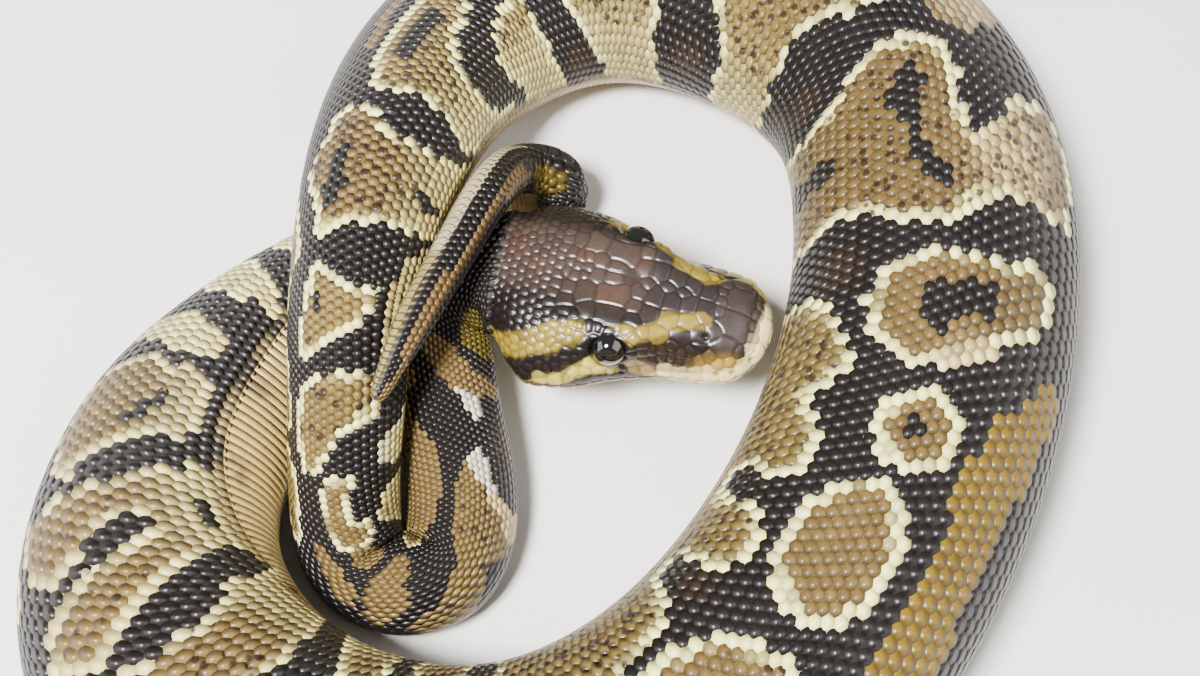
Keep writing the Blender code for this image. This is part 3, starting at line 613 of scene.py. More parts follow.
# Blotches of the back and of the outer flank where they are turned away: middle and half-sizes.
HIDDEN_BLOTCHES = [
    (97, 0, 4.6, 2.2), (109, 0, 5, 3.4), (121, -1, 4.6, 3.6), (227.5, 0, 4.4, 4.6), (240, 1, 5.4, 4.4),
    (252, 0, 4.4, 4), (262, -1, 3.6, 3.4), (281, 0, 4, 3), (292, 0, 4.2, 2.6),
    (138, -29, 4.6, 7.4), (150.5, -30, 4.2, 8.2), (163, -29.5, 4.8, 7.8), (176, -30, 4.4, 8.4),
    (189, -29, 4.8, 7.6), (202, -30, 4.2, 8), (214, -28.5, 4.4, 7),
]


def depth_inside(outline, s, arc):
    """How far points lie inside an outline, in mm; negative outside it."""
    corner = np.array(outline, float)
    after = np.roll(corner, -1, axis=0)
    near = np.full(s.shape, 1e9)
    inside = np.zeros(s.shape, bool)
    for (x0, y0), (x1, y1) in zip(corner, after):
        dx, dy = x1 - x0, y1 - y0
        way = np.clip(((s - x0) * dx + (arc - y0) * dy) / (dx * dx + dy * dy), 0, 1)
        near = np.minimum(near, (s - x0 - way * dx) ** 2 + (arc - y0 - way * dy) ** 2)
        if dy:
            inside ^= ((arc > y0) != (arc > y1)) & (s < x0 + (arc - y0) * dx / dy)
    return np.where(inside, 1, -1) * np.sqrt(near)


def mixed(under, over, share):
    """Colours laid over others, by their share at each place."""
    return under + (over - under) * np.asarray(share)[..., None]


def drift(s, arc, length, seed):
    """Slow smooth variation from -1 to 1 over about the given length in mm."""
    value = np.zeros(np.shape(s))
    for k in range(5):
        turn = seed * 1.7 + k * 1.3
        value = value + np.sin((s * math.cos(turn) + arc * math.sin(turn)) * 2 * math.pi / length
                               / (0.7 + 0.25 * k) + 2.1 * k + seed)
    return value / 3.2


def lay_patch(colour, fleck, s, arc, outline, heart, edge, share, girth):
    """Lays one light patch into the colours, and its share of flecked scales into fleck."""
    box = np.array(outline)
    near = ((s > box[:, 0].min() - 0.2) & (s < box[:, 0].max() + 0.2)
            & (arc > box[:, 1].min() - 0.2) & (arc < box[:, 1].max() + 0.2))
    if not near.any():
        return
    at, up, thick = s[near], arc[near], girth[near]
    deep = depth_inside(outline, at, up)
    # The edge is wider on a thick length. Low on the flank a patch turns to ivory and has no flecks.
    rim = 0.18 + 0.062 * thick
    low = np.abs(up) / thick
    pale = np.where(at < 225, ease(1.1, 2.0, low), ease(1.6, 2.2, low))[..., None]
    middle = heart * (1 + 0.06 * drift(at, up, 7, 3))[..., None]
    within = ease(rim * 0.75, rim * 1.5, deep + 0.25 * drift(at, up, 3, 5))
    tone = mixed(edge + np.zeros(at.shape + (3,)), middle, within)
    # Painted highlight, partly the patch's own paler tone: peach where a broad sheen lies on the coil.
    for place, side, reach in PALE_SHEEN_HEARTS:
        tone = mixed(tone, PEACH, 0.8 * (1 - ease(0.4, 1.1, np.hypot(at - place, up - side) / reach)))
    tone = tone + (IVORY - tone) * pale * 0.7
    inside = deep > 0
    colour[near] = np.where(inside[..., None], tone, colour[near])
    share = share * ease(rim * 0.7, rim * 1.3, deep) * (1 - ease(1.3, 1.9, low))
    fleck[near] = np.where(inside, share, fleck[near])


def colours_at(s, angle):
    """Colour of the animal and share of flecked scales, at s and at an angle leftward from its spine."""
    angle = (angle + 180) % 360 - 180
    girth = body.value(body.girth, s)
    arc = np.radians(angle) * girth
    ground = INK * (1 + 0.12 * drift(s, arc, 6, 1))[..., None]
    for at, up, reach in BROWN_HEARTS:
        near = np.hypot(s - at, arc - up) / reach
        ground = mixed(ground, UMBER, 0.75 * (1 - ease(0.3, 1.1, near)))
    colour, fleck = ground.copy(), np.zeros(s.shape)
    for low, high, shift in MIRRORED:
        for _, heart, edge, share, outline in PATCHES:
            if low <= outline[0][0] <= high and max(up for _, up in outline) > FLANK_FROM:
                other = [(at + shift, -up) for at, up in outline]
                lay_patch(colour, fleck, s, arc, other, heart, edge, share, girth)
    for at, up, long, wide in HIDDEN_BLOTCHES:
        spokes = np.arange(14) * 2 * math.pi / 14
        oval = list(zip(at + long * np.cos(spokes), up + wide * np.sin(spokes)))
        lay_patch(colour, fleck, s, arc, oval, TAN, CREAM, 0, girth)
    for _, heart, edge, share, outline in PATCHES:
        lay_patch(colour, fleck, s, arc, outline, heart, edge, share, girth)
    for _, outline in SPOTS:
        inside = depth_inside(outline, s, arc) > 0
        colour[inside] = ground[inside]
        fleck[inside] = 0
    under = ease(BELLY_EDGE - 7, BELLY_EDGE - 2, np.abs(angle) + 3 * drift(s, arc, 5, 8)) * ease(6, 14, s)
    under = under * (1 - ease(330, 337, s))
    speck = ease(0.62, 0.8, drift(s, arc, 4.5, 11))
    speck = speck * (1 - ease(BELLY_EDGE + 6, BELLY_EDGE + 20, np.abs(angle)))
    belly = mixed(SHADED_BELLY + np.zeros(s.shape + (3,)), UMBER, 0.8 * speck)
    return mixed(colour, belly, under), fleck * (1 - under)


# ---------------------------------------------------------------------------------------------
# Scales of the back and flanks.

def rows_beside_spine(s):
    """Angle from the spine of the middle of each row on one side at s, and whether it is there.

    Where the body narrows, rows end two at a time: those in ENDING_ROWS, each with the next."""
    wanted = SIDE_ROWS * (body.value(body.girth, s) / WIDEST) ** 0.45
    there = np.ones(SIDE_ROWS + 1)
    for k, first in enumerate(ENDING_ROWS):
        left_over = SIDE_ROWS - 2 * (k + 1)
        share = ease(left_over - 0.1, left_over + 0.9, wanted)
        there[[first, first + 1]] = share
    index = np.arange(SIDE_ROWS + 1)
    width = (0.80 + 0.52 * ease(0, 10, index) + 0.12 * ease(12, 25, index)) * there
    edge = np.cumsum(width) - width[0] / 2
    middle = edge - width / 2
    middle[0] = 0.0
    return middle / edge[-1] * BELLY_EDGE, there > 0.5


def lay_scales():
    """Place of every scale: s, angle from the spine, length, and room to the rows on either side."""
    fine, count = scales_along()
    scales = []
    for number, step in enumerate(np.arange(0.5, 2 * count[-1] - 1) / 2):
        s = float(np.interp(step, count, fine))
        if s < 0.2 or s > body.length - 0.3:
            continue
        if s > TAIL_FROM:
            for row, (middle, half) in enumerate(TAIL_ROWS):
                if (row + number) % 2 == 0:
                    scales.append((s, middle, scale_pitch(s), half, half))
            continue
        angles, there = rows_beside_spine(s)
        present = np.flatnonzero(there)
        side = np.r_[angles[present], 2 * BELLY_EDGE - angles[present][-1]]
        for k, row in enumerate(present):
            if (row + number) % 2:
                continue
            out = side[k + 1] - side[k]
            back = side[k] - side[k - 1] if k else out
            scales.append((s, side[k], scale_pitch(s), out, back))
            if k:
                scales.append((s, -side[k], scale_pitch(s), back, out))
    return np.array(scales)


def scale_shape():
    """One scale: along and across in units of the space between scales, and height in its depth.

    A rounded hexagon with a full hind edge that stands above the front of the next scale."""
    spoke = np.arange(12) * math.pi / 6
    behind = np.maximum(np.cos(spoke), 0)
    corner = np.where(np.arange(12) % 2, 1.06, 1.0)
    rim_along = (0.49 + 0.09 * behind) * corner * np.cos(spoke)
    rim_across = 0.585 * corner * np.sin(spoke)
    along = [rim_along, rim_along * 0.95, rim_along[::2] * 0.80, [0.03]]
    across = [rim_across, rim_across * 0.94, rim_across[::2] * 0.79, [0.0]]
    height = [np.full(12, -0.35), 0.56 + 0.36 * np.cos(spoke), 0.76 + 0.26 * np.cos(spoke[::2]), [0.88]]
    quads = [(k, (k + 1) % 12, 12 + (k + 1) % 12, 12 + k) for k in range(12)]
    tris = []
    for k in range(6):
        here, after = 24 + k, 24 + (k + 1) % 6
        outer = [12 + 2 * k, 12 + (2 * k + 1) % 12, 12 + (2 * k + 2) % 12]
        tris += [(outer[0], outer[1], here), (outer[1], after, here), (outer[1], outer[2], after)]
        tris.append((here, after, 30))
    base = [tuple(range(11, -1, -1))]
    return (np.concatenate(along), np.concatenate(across), np.concatenate(height),
            [np.array(quads), np.array(tris), np.array(base)])


def root_patches(along, across, s, angle):
    """Room for each scale on the unwrapped skin, at its root's place."""
    root = np.c_[(s - s.min()) / (s.max() - s.min()), (angle + 180) / 360] * 0.97
    patch = np.c_[(along + 0.7) / 1.4, (across + 0.7) / 1.4] * 0.003
    return (root[:, None, :] + patch[None]).reshape(-1, 2) + 0.01


def make_scales():
    """The small scales of back and flanks, in pieces of even size, with painted shade at their edges."""
    along, across, height, faces = scale_shape()
    s, angle, length, upward, downward = lay_scales().T
    room = np.where(across[None, :] > 0, upward[:, None], downward[:, None])
    at_s = s[:, None] + along * length[:, None]
    at_angle = angle[:, None] + across * room
    high = coat_depth(s)[:, None] * (height - 1)
    points = body.lifted(at_s, at_angle - body.value(body.roll, at_s), high)
    points[..., 2] = np.maximum(points[..., 2], SCALE_CLEAR)
    round_spine = (angle + 180) % 360 - 180
    tint, fleck = colours_at(s, round_spine)
    tint = tint * (1 + 0.07 * random.standard_normal(len(s)))[:, None]
    # Painted shade: each scale darkens toward its rim, in the creases between scales, and most at its hind
    # edge as a painted shadow past the raised edge; pale scales are darkened less.
    light = ease(0.25, 0.75, tint.mean(axis=1))[:, None]
    ring = np.repeat([0, 1, 2, 3], [12, 12, 6, 1])
    hind = ease(-0.1, 0.5, along)
    edge = np.choose(ring, [0.42 - 0.32 * hind, 0.78 - 0.54 * hind, 1.0 - 0.40 * hind, 1.0])
    shade = edge + (1 - edge) * 0.55 * light
    colours = tint[:, None, :] * shade[..., None]
    pieces = []
    share = math.ceil(len(s) / math.ceil(len(s) / MOST_SCALES))
    for number, first in enumerate(range(0, len(s), share)):
        part = slice(first, first + share)
        pieces.append(to_mesh(
            f"scales_{number + 1}", points[part].reshape(-1, 3), repeated(faces, len(s[part]), len(height)),
            colours[part].reshape(-1, 3), root_patches(along, across, s[part], round_spine[part]),
            np.repeat(FLECKS * fleck[part], len(height))))
    return pieces


def make_belly_plates():
    """Wide plates across the belly, each with its hind edge over the next."""
    fine, count = scales_along()
    s = np.interp(np.arange(4, count[-1] - 1) + 0.5, count, fine)
    s = s[s < TAIL_FROM]
    columns = 14
    half = 180 - BELLY_EDGE + 1.5
    grids = np.meshgrid([-0.5, -0.42, 0.1, 0.56, 0.6], np.linspace(-1, 1, columns), indexing="ij")
    along, across = (grid.ravel() for grid in grids)
    height = np.tile(np.array([-0.35, 0.86, 0.92, 0.97, -0.35])[:, None], (1, columns))
    height[:, [0, -1]] = -0.35
    height[1:4, [1, -2]] -= 0.2
    height = height.ravel()
    cell = np.arange(4)[:, None] * columns + np.arange(columns - 1)
    top = np.stack([cell, cell + 1, cell + columns + 1, cell + columns], axis=-1).reshape(-1, 4)
    front = np.arange(columns - 1)
    under = np.c_[front, front + 4 * columns, front + 4 * columns + 1, front + 1]
    ends = np.array([np.arange(5) * columns, (np.arange(5) * columns + columns - 1)[::-1]])
    at_s = s[:, None] + along * scale_pitch(s)[:, None]
    at_angle = 180 + across * half + np.zeros_like(at_s)
    high = coat_depth(s)[:, None] * (height - 1)
    points = body.lifted(at_s, at_angle - body.value(body.roll, at_s), high)
    points[..., 2] = np.maximum(points[..., 2], SCALE_CLEAR)
    # Painted shade: the sunk edges of each plate are darkened a little, in the gaps between plates.
    colours = colours_at(at_s, at_angle)[0] * np.where(height < 0, 0.92, 1.0)[None, :, None]
    faces = repeated((top, under, ends), len(s), len(height))
    spots = root_patches(along, across * 0.6, s, np.zeros(len(s)))
    return to_mesh("belly_plates", points.reshape(-1, 3), faces, colours.reshape(-1, 3), spots)


# ---------------------------------------------------------------------------------------------
# Head: its plates, folds and colours, laid out by x forward from the jaw's corners and by the arc in
# mm from the crown, toward the snake's left.

CROWN = srgb("352a24")
TEMPLE = srgb("171110")
BROW_GREY = srgb("201b1b")
SNOUT_GREY = srgb("2f2724")
RUST = srgb("50301f")
STRIPE = srgb("76641f")
LABIAL = srgb("a89844")
SHELL = srgb("c4b27e")
PEACH_BROWN = srgb("7a6640")
BRONZE = srgb("261c15")
AMBER = srgb("7e6428")
CHIN = srgb("bba77c")
IRIS = srgb("14110e")
IRIS_LOW = srgb("4a4330")
PUPIL = srgb("090808")

# Plates of the right side and crown: x, arc and half-width; the left side mirrors them.
PLATES = [
    (21.8, -0.75, 1.15), (19.0, -0.35, 0.7), (17.5, -0.3, 0.7), (17.7, -1.7, 0.65), (16.0, -0.4, 0.75),
    (16.2, -1.9, 0.7), (14.5, -0.4, 0.75), (14.4, -1.9, 0.7), (13.0, -0.2, 0.65), (12.9, -1.6, 0.65),
    (13.1, -2.8, 0.6), (10.9, -1.0, 1.25), (8.4, -1.1, 0.85), (10.9, -2.7, 1.1), (9.0, -2.7, 0.65),
    (6.9, -2.3, 0.55), (6.9, -1.0, 0.55), (20.2, -2.0, 0.6), (19.1, -2.6, 0.55), (21.5, -2.9, 0.8),
    (17.4, -3.1, 0.6), (15.6, -3.6, 0.6), (10.6, 0.7, 0.8), (11.9, 1.1, 0.6), (9.2, 0.6, 0.65),
]
NOSTRIL = (19.5, -2.75)
HEAT_PITS = [23.7, 22.3, 20.9]
RUSTY = [(1.2, 2.2, 1.7), (3.6, 0.6, 1.2), (10.8, -1.0, 1.3), (7.6, 2.4, 1.3), (12.5, 2.2, 1.2)]
SNOUT_TIP = 24.75
EYE_RING = 2.25           # from the middle of the eye to the small plates round it
ROOM_BETWEEN = 0.42       # from a given plate's edge to the middle of the next small one

# Marks of the head: colour, half the width of its soft edge, and outline in x and arc.
HEAD_MARKS = [
    ("stripe behind the eye", STRIPE, 0.12, [(-1, -6.3), (1.5, -6.2), (3, -5.9), (5, -5.1), (6, -4.5),
        (7, -4.3), (8.3, -4.2), (9.5, -4.6), (9.4, -5.3), (9, -6.2), (8.4, -5.9), (7.8, -6.4), (7, -7),
        (5.8, -7.6), (4, -8.1), (2.3, -8.6), (1.4, -9.2), (-1, -8.6)]),
    ("stripe before the eye", STRIPE, 0.12, [(11.2, -4), (11.8, -3.6), (13, -3.5), (14, -3.3), (15, -2.6),
        (15.8, -1.9), (17, -1.4), (18, -0.8), (19, -0.5), (19.8, -0.9), (19.9, -1.6), (19.5, -2.1),
        (18.5, -2.2), (17.5, -2.7), (16.2, -3.3), (15, -4.3), (14, -5), (13.5, -5.5), (12.6, -4.9),
        (11.8, -4.4)]),
    ("lip stripe", LABIAL, 0.12, [(3.4, -11.4), (5, -10.6), (6.3, -10.1), (7.5, -9.4), (8.2, -8.7), (9, -8),
        (9.7, -7.4), (10.5, -7.4), (11.5, -7.8), (12.3, -8), (12.5, -8.9), (11.5, -9.1), (10, -9.4),
        (8.8, -10), (7.8, -10.8), (7, -11.5), (6, -12.2), (4.5, -12.4), (3, -12.4)]),
    ("amber lips", AMBER, 0.7, [(18.6, -6), (19.4, -5), (20.6, -4.2), (21.8, -3.6), (22.6, -3.6),
        (22.6, -4.6), (22, -5.4), (21, -6.2), (19.6, -6.8)]),
    ("brown lips edge", PEACH_BROWN, 0.12, [(12.8, -7.7), (13.6, -7.3), (14.6, -7.2), (15.4, -7.6),
        (16.6, -7.8), (17, -8.4), (16, -9.6), (13.4, -9)]),
    ("pale lips", SHELL, 0.12, [(15, -8.4), (16, -7.5), (17.2, -7.2), (18.2, -6.8), (19.4, -6.4),
        (20.5, -6), (21.6, -5.4), (22.4, -4.7), (23.1, -3.7), (23.5, -2), (23.6, 0), (23.8, 1.5), (24, 3),
        (26, 3), (26, -4), (24, -8), (20, -9), (16, -9.6)]),
    ("far stripe behind the eye", STRIPE, 0.12, [(0, 11), (3, 10.6), (6, 9.9), (7.9, 9.2), (8.7, 7.6),
        (9.5, 6.2), (10.6, 5.2), (10.4, 6.4), (10.2, 8.4), (9.8, 10.4), (7.5, 11.6), (4, 12.2), (0, 12.6)]),
    ("far stripe before the eye", STRIPE, 0.12, [(12.4, 6.4), (12.9, 5.2), (13.6, 4.5), (14.6, 4.1),
        (15.6, 3.9), (16.3, 3.2), (17.3, 2.7), (18.5, 2.1), (19.4, 2.6), (20.2, 3.5), (19.3, 4.1),
        (18, 4.3), (17.2, 4.9), (16.3, 6), (15.8, 7.4), (14, 7.4)]),
    ("far lips", LABIAL, 0.12, [(3, 12.4), (6, 11.4), (9, 9.6), (12, 8.6), (15, 7.8), (18, 7), (21, 5.8),
        (23.2, 4), (26, 3), (25, 8), (20, 9.4), (14, 10), (8, 12.4), (4, 14)]),
]


def midline(x):
    """Arc from the highest line of the head to its own middle line: it is turned a little on its side."""
    return 1.9 - 1.3 * np.asarray(x, float) / 20


def eye_place(side, x=0.0, y=0.0, z=0.0):
    """A place by the middle of one eye: forward, outward and up from it in the head's frame."""
    return head_to_world(np.array([EYE_AT[0] + x, side * (EYE_AT[1] + y), EYE_AT[2] + z]))


def head_colours(x, arc, z):
    """Colour of the head at x and arc, at z over the line of the mouth."""
    side = ease(2.2, 4.6, np.abs(arc - midline(x)))
    front = ease(12.5, 14.5, x)
    tip = ease(19.6, 20.4, x) * (1 - side)
    crown = CROWN * (1 + 0.10 * drift(x, arc, 3.1, 2))[..., None]
    colour = mixed(crown, TEMPLE, np.maximum(side, 0.35 * front))
    colour = mixed(colour, BROW_GREY, 0.7 * front * (1 - side))
    colour = mixed(colour, SNOUT_GREY, tip)
    for at, up, reach in RUSTY:
        colour = mixed(colour, RUST, 0.22 * (1 - ease(0.3, 1.1, np.hypot(x - at, arc - up) / reach)))
    colour = mixed(colour, BRONZE, 0.8 * ease(12, 15, x) * ease(4.4, 5.8, midline(x) - arc))
    for _, heart, soft, outline in HEAD_MARKS:
        tone = heart * (1 + 0.14 * drift(x, arc, 2.3, 4))[..., None]
        colour = mixed(colour, tone, ease(-soft, soft, depth_inside(outline, x, arc)))
    below = 1 - ease(-0.12, 0.02, z)
    jaw = mixed(np.broadcast_to(UMBER, colour.shape), CHIN, 1 - ease(-2.2, -0.5, z))
    jaw = mixed(jaw, SHELL, 0.7 * ease(14, 18, x))
    return mixed(colour, jaw, below)


class Head:
    """The skin of the head: a fine net over it, with its plates raised in it."""

    def __init__(self):
        self.shares = crowded(HEAD_FACETS)
        nose = HEAD_LENGTH - SNOUT_ROUND
        flat = np.arange(0, nose, HEAD_STEP)
        rounded = nose + SNOUT_ROUND * np.sin(np.linspace(0, math.pi / 2, 48))
        self.x = np.r_[flat, rounded][::-1]
        rings = np.array([head_ring(x, self.shares) for x in self.x])
        heart = rings[0].mean(axis=0)
        caps = [heart + (rings[0] - heart) * grow for grow in (0.2, 0.4, 0.6, 0.8)]
        self.net = np.concatenate([caps, rings])
        self.x = np.r_[np.full(4, HEAD_LENGTH), self.x]
        reach = np.linalg.norm(np.roll(self.net, -1, axis=1) - self.net, axis=2)
        around = np.concatenate([np.zeros((len(reach), 1)), np.cumsum(reach, axis=1)], axis=1)
        full = around[:, -1:]
        self.arc = np.where(around[:, :-1] < full / 2, around[:, :-1], around[:, :-1] - full)
        self.normal = self.normals(self.net)
        self.local = world_to_head(self.net)

    def normals(self, net):
        """Directions out of the head at the points of its net."""
        along = np.gradient(net, axis=0)
        across = np.roll(net, -1, axis=1) - np.roll(net, 1, axis=1)
        normal = np.cross(across, along)
        normal /= np.linalg.norm(normal, axis=-1)[..., None] + 1e-12
        ring = 60    # one of the full rings, behind the rounded snout
        out = net[ring] - net[ring].mean(axis=0)
        return normal if (out * normal[ring]).sum() > 0 else -normal

    def at(self, x, arc):
        """Point of the head's surface at x and arc."""
        row = int(np.argmin(np.abs(self.x - x)))
        return self.net[row, int(np.argmin(np.abs(self.arc[row] - arc)))]

    def at_lip(self, x, z, side):
        """Point of one side of the head at x and at a height over the line of the mouth."""
        row = int(np.argmin(np.abs(self.x - x)))
        y, up = self.local[row, :, 1], self.local[row, :, 2]
        return self.net[row, int(np.argmin(np.where(y * side > 0, np.abs(up - z), 99)))]

    def plates(self):
        """Middle and half-width of every plate."""
        middles, sizes = [], []
        for x, arc, size in PLATES:
            for turned in (arc, 2 * midline(x) - arc):
                middles.append(self.at(x, turned))
                sizes.append(size)
        middles.append((self.at_lip(SNOUT_TIP, 0.9, 1) + self.at_lip(SNOUT_TIP, 0.9, -1)) / 2)
        sizes.append(0.95)
        for side in (-1, 1):
            for turn in np.arange(12) * math.pi / 6:
                spot = eye_place(side, EYE_RING * math.cos(turn), 0.55, EYE_RING * math.sin(turn))
                near = np.linalg.norm(self.net - spot, axis=2)
                middles.append(self.net[np.unravel_index(near.argmin(), near.shape)])
                sizes.append(0.42)
            for x in np.r_[24.2, 23.1, np.arange(21.8, 3, -1.35)]:
                middles += [self.at_lip(x, 0.8, side), self.at_lip(x - 0.5, -0.75, side)]
                sizes += [0.68, 0.66]
        given, wide = np.array(middles), np.array(sizes)
        rows = np.arange(-0.3, 24.6, 0.82)
        for number, x in enumerate(rows):
            gap = 0.88 + 0.20 * float(ease(6, 13, x))
            for arc in np.arange(-18, 18, gap) + (number % 2) * gap / 2:
                row = int(np.argmin(np.abs(self.x - x)))
                if abs(arc) > self.arc[row].max():
                    continue
                shift = random.uniform(-0.16, 0.16, 2)
                point = self.at(x + shift[0], arc + shift[1])
                if (np.linalg.norm(given - point, axis=1) > wide + ROOM_BETWEEN).all():
                    middles.append(point)
                    sizes.append(0.46)
        return np.array(middles), np.array(sizes)

    def share_out(self, middles, sizes):
        """Each point's plate, its way out from the plate's middle, and its room to the plate's edge."""
        flat = self.net.reshape(-1, 3)
        best = np.full(len(flat), 1e9)
        after = best.copy()
        owner = np.zeros(len(flat), int)
        for number, (middle, size) in enumerate(zip(middles, sizes)):
            reach = np.linalg.norm(flat - middle, axis=1) / size
            closer = reach < best
            after = np.where(closer, best, np.minimum(after, reach))
            owner = np.where(closer, number, owner)
            best = np.where(closer, reach, best)
        return owner, best, (after - best) / 2 * sizes[owner]

    def dents(self):
        """Nostrils and heat pits of the lips: middle, half-width and depth."""
        far_nostril = (NOSTRIL[0], 2 * midline(NOSTRIL[0]) - NOSTRIL[1])
        dents = [(self.at(*place), 0.34, 0.32) for place in (NOSTRIL, far_nostril)]
        for side in (-1, 1):
            dents += [(self.at_lip(at, 0.95, side), 0.26, 0.2) for at in HEAT_PITS]
        return dents

    def raised(self):
        """Nose tip and points of the head with its plates, pits and mouth, and their colours."""
        middles, sizes = self.plates()
        owner, best, to_edge = self.share_out(middles, sizes)
        flat = self.net.reshape(-1, 3)
        x, _, z = self.local.reshape(-1, 3).T
        arc = self.arc.ravel()
        plate = ease(0.0, 0.17, to_edge)
        height = -0.15 + plate * (0.10 + 0.035 * (1 - np.clip(best, 0, 1.2) ** 2))
        groove = np.exp(-(z / 0.13) ** 2) * ease(1.8, 4.0, x)
        height = height - 0.30 * groove - 0.05 * np.exp(-((z + 0.35) / 0.35) ** 2) * ease(1.8, 4.0, x)
        pitted = np.zeros(len(flat))
        for middle, wide, deep in self.dents():
            share = np.exp(-(np.linalg.norm(flat - middle, axis=1) / wide) ** 2)
            pitted = np.maximum(pitted, share)
            height = height - deep * share
        points = flat + self.normal.reshape(-1, 3) * height[:, None]

        nearest = np.array([np.linalg.norm(flat - middle, axis=1).argmin() for middle in middles])
        even = head_colours(self.x.repeat(HEAD_FACETS)[nearest], arc[nearest], world_to_head(middles)[:, 2])
        own = head_colours(np.clip(x, 0, HEAD_LENGTH), arc, z)
        colour = own + (even[owner] - own) * 0.45
        colour = colour * (1 + 0.09 * random.standard_normal(len(middles)))[owner][:, None]
        # Painted shade: each plate darkens toward its edge in the seams between plates, and the mouth's
        # groove and the pits of nostrils and lips are darkened.
        light = ease(0.12, 0.35, colour.mean(axis=1))
        painted_seam_shade = 1 - (0.45 - 0.2 * light) * (1 - ease(0.02, 0.13, to_edge))
        colour = colour * (painted_seam_shade * (1 - 0.75 * groove) * (1 - 0.8 * pitted))[:, None]
        # Painted shade round each eye's opening, where the skin sinks to the eye.
        for side in (-1, 1):
            close = sink_round_eye(points, side)
            colour = colour * (1 - 0.8 * close)[:, None]
        net = points.reshape(self.net.shape)
        return net[0].mean(axis=0), net, colour


def sink_round_eye(points, side):
    """Sinks the head's points round one eye to its ledge, and gives how close to it each point is."""
    middle = eye_place(side)
    outward = eye_place(side, 0.1, 0.80, 0.55) - middle
    outward /= np.linalg.norm(outward)
    rise = (points - middle) @ outward
    aside = np.linalg.norm(points - middle - rise[:, None] * outward, axis=1)
    near = (rise > -0.4) & (aside < 2.5)
    ball = np.sqrt(np.clip((EYE_RADIUS - 0.12) ** 2 - aside ** 2, 0, None)) - 0.1
    ledge = math.sqrt(EYE_RADIUS ** 2 - EYE_SHOWN ** 2)
    wanted = np.where(aside < EYE_SHOWN, np.minimum(ball, ledge), ledge)
    sunk = np.maximum(rise - wanted, 0) * (1 - ease(EYE_SHOWN, EYE_SHOWN + 0.75, aside))
    points[near] -= outward * sunk[near, None]
    return (1 - ease(EYE_SHOWN + 0.05, EYE_SHOWN + 0.5, aside)) * near


# ---------------------------------------------------------------------------------------------
# Skin and eyes.

def make_skin():
    """One skin from the snout to the tip of the tail, finer on the head."""
    nose, head, head_colour = Head().raised()
    places = np.r_[np.arange(SKIN_STEP, body.length - 0.3, SKIN_STEP), body.length - 0.12]
    n, m = HEAD_FACETS, SKIN_FACETS
    trunk, turns = [], []
    for s in places:
        even = float(ease(0, NECK_BLEND, s))
        turn = 360 * (crowded(m) * (1 - even) + np.arange(m) / m * even)
        turns.append(turn)
        trunk.append(body.lifted(np.full(m, s), turn, -coat_depth(np.full(m, s))))
    trunk = np.array(trunk)
    trunk[..., 2] = np.maximum(trunk[..., 2], SKIN_CLEAR)
    tip = body.lifted(np.array([body.length - 0.1]), np.array([0.0]), np.array([-0.3]))
    points = np.concatenate([nose[None], head.reshape(-1, 3), trunk.reshape(-1, 3), tip])

    k, j = np.arange(n), np.arange(m)
    last, first = 1 + n * (len(head) - 1), 1 + n * len(head)
    end = first + m * (len(trunk) - 1)
    fan = np.c_[np.zeros(n, int), 1 + k, 1 + (k + 1) % n]
    over_head, over_trunk = band(1, len(head), n), band(first, len(trunk), m)
    low, high = first + j, first + (j + 1) % m
    step, after = last + 3 * j, last + (3 * j + 3) % n
    nape3 = np.concatenate([np.c_[step, low, step + 1], np.c_[step + 2, high, after]])
    nape4 = np.c_[step + 1, low, high, step + 2]
    tail_end = np.c_[end + j, np.full(m, len(points) - 1), end + (j + 1) % m]

    s = np.repeat(places, m)
    trunk_colour = colours_at(s, np.concatenate(turns) + body.value(body.roll, s))[0]
    # Painted shade in the gaps: the skin is darkened, less where it is pale, partly for its own darker colour
    # and partly for the shade between scales.
    trunk_colour = trunk_colour * (0.4 + 0.25 * ease(0.05, 0.5, trunk_colour.mean(axis=1)))[:, None]
    colours = np.concatenate([head_colour[:1], head_colour, trunk_colour, INK[None]])
    skin = to_mesh("skin", points, [np.concatenate([over_head, nape4, over_trunk]),
                                    np.concatenate([fan, nape3, tail_end])], colours)
    kind = np.zeros(len(skin.data.polygons), np.int32)
    kind[:len(over_head)] = 1
    kind[len(over_head) + len(nape4) + len(over_trunk):][:n] = 1
    skin.data.polygons.foreach_set("material_index", kind)
    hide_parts(*[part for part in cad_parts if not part.startswith("eye")])
    return skin


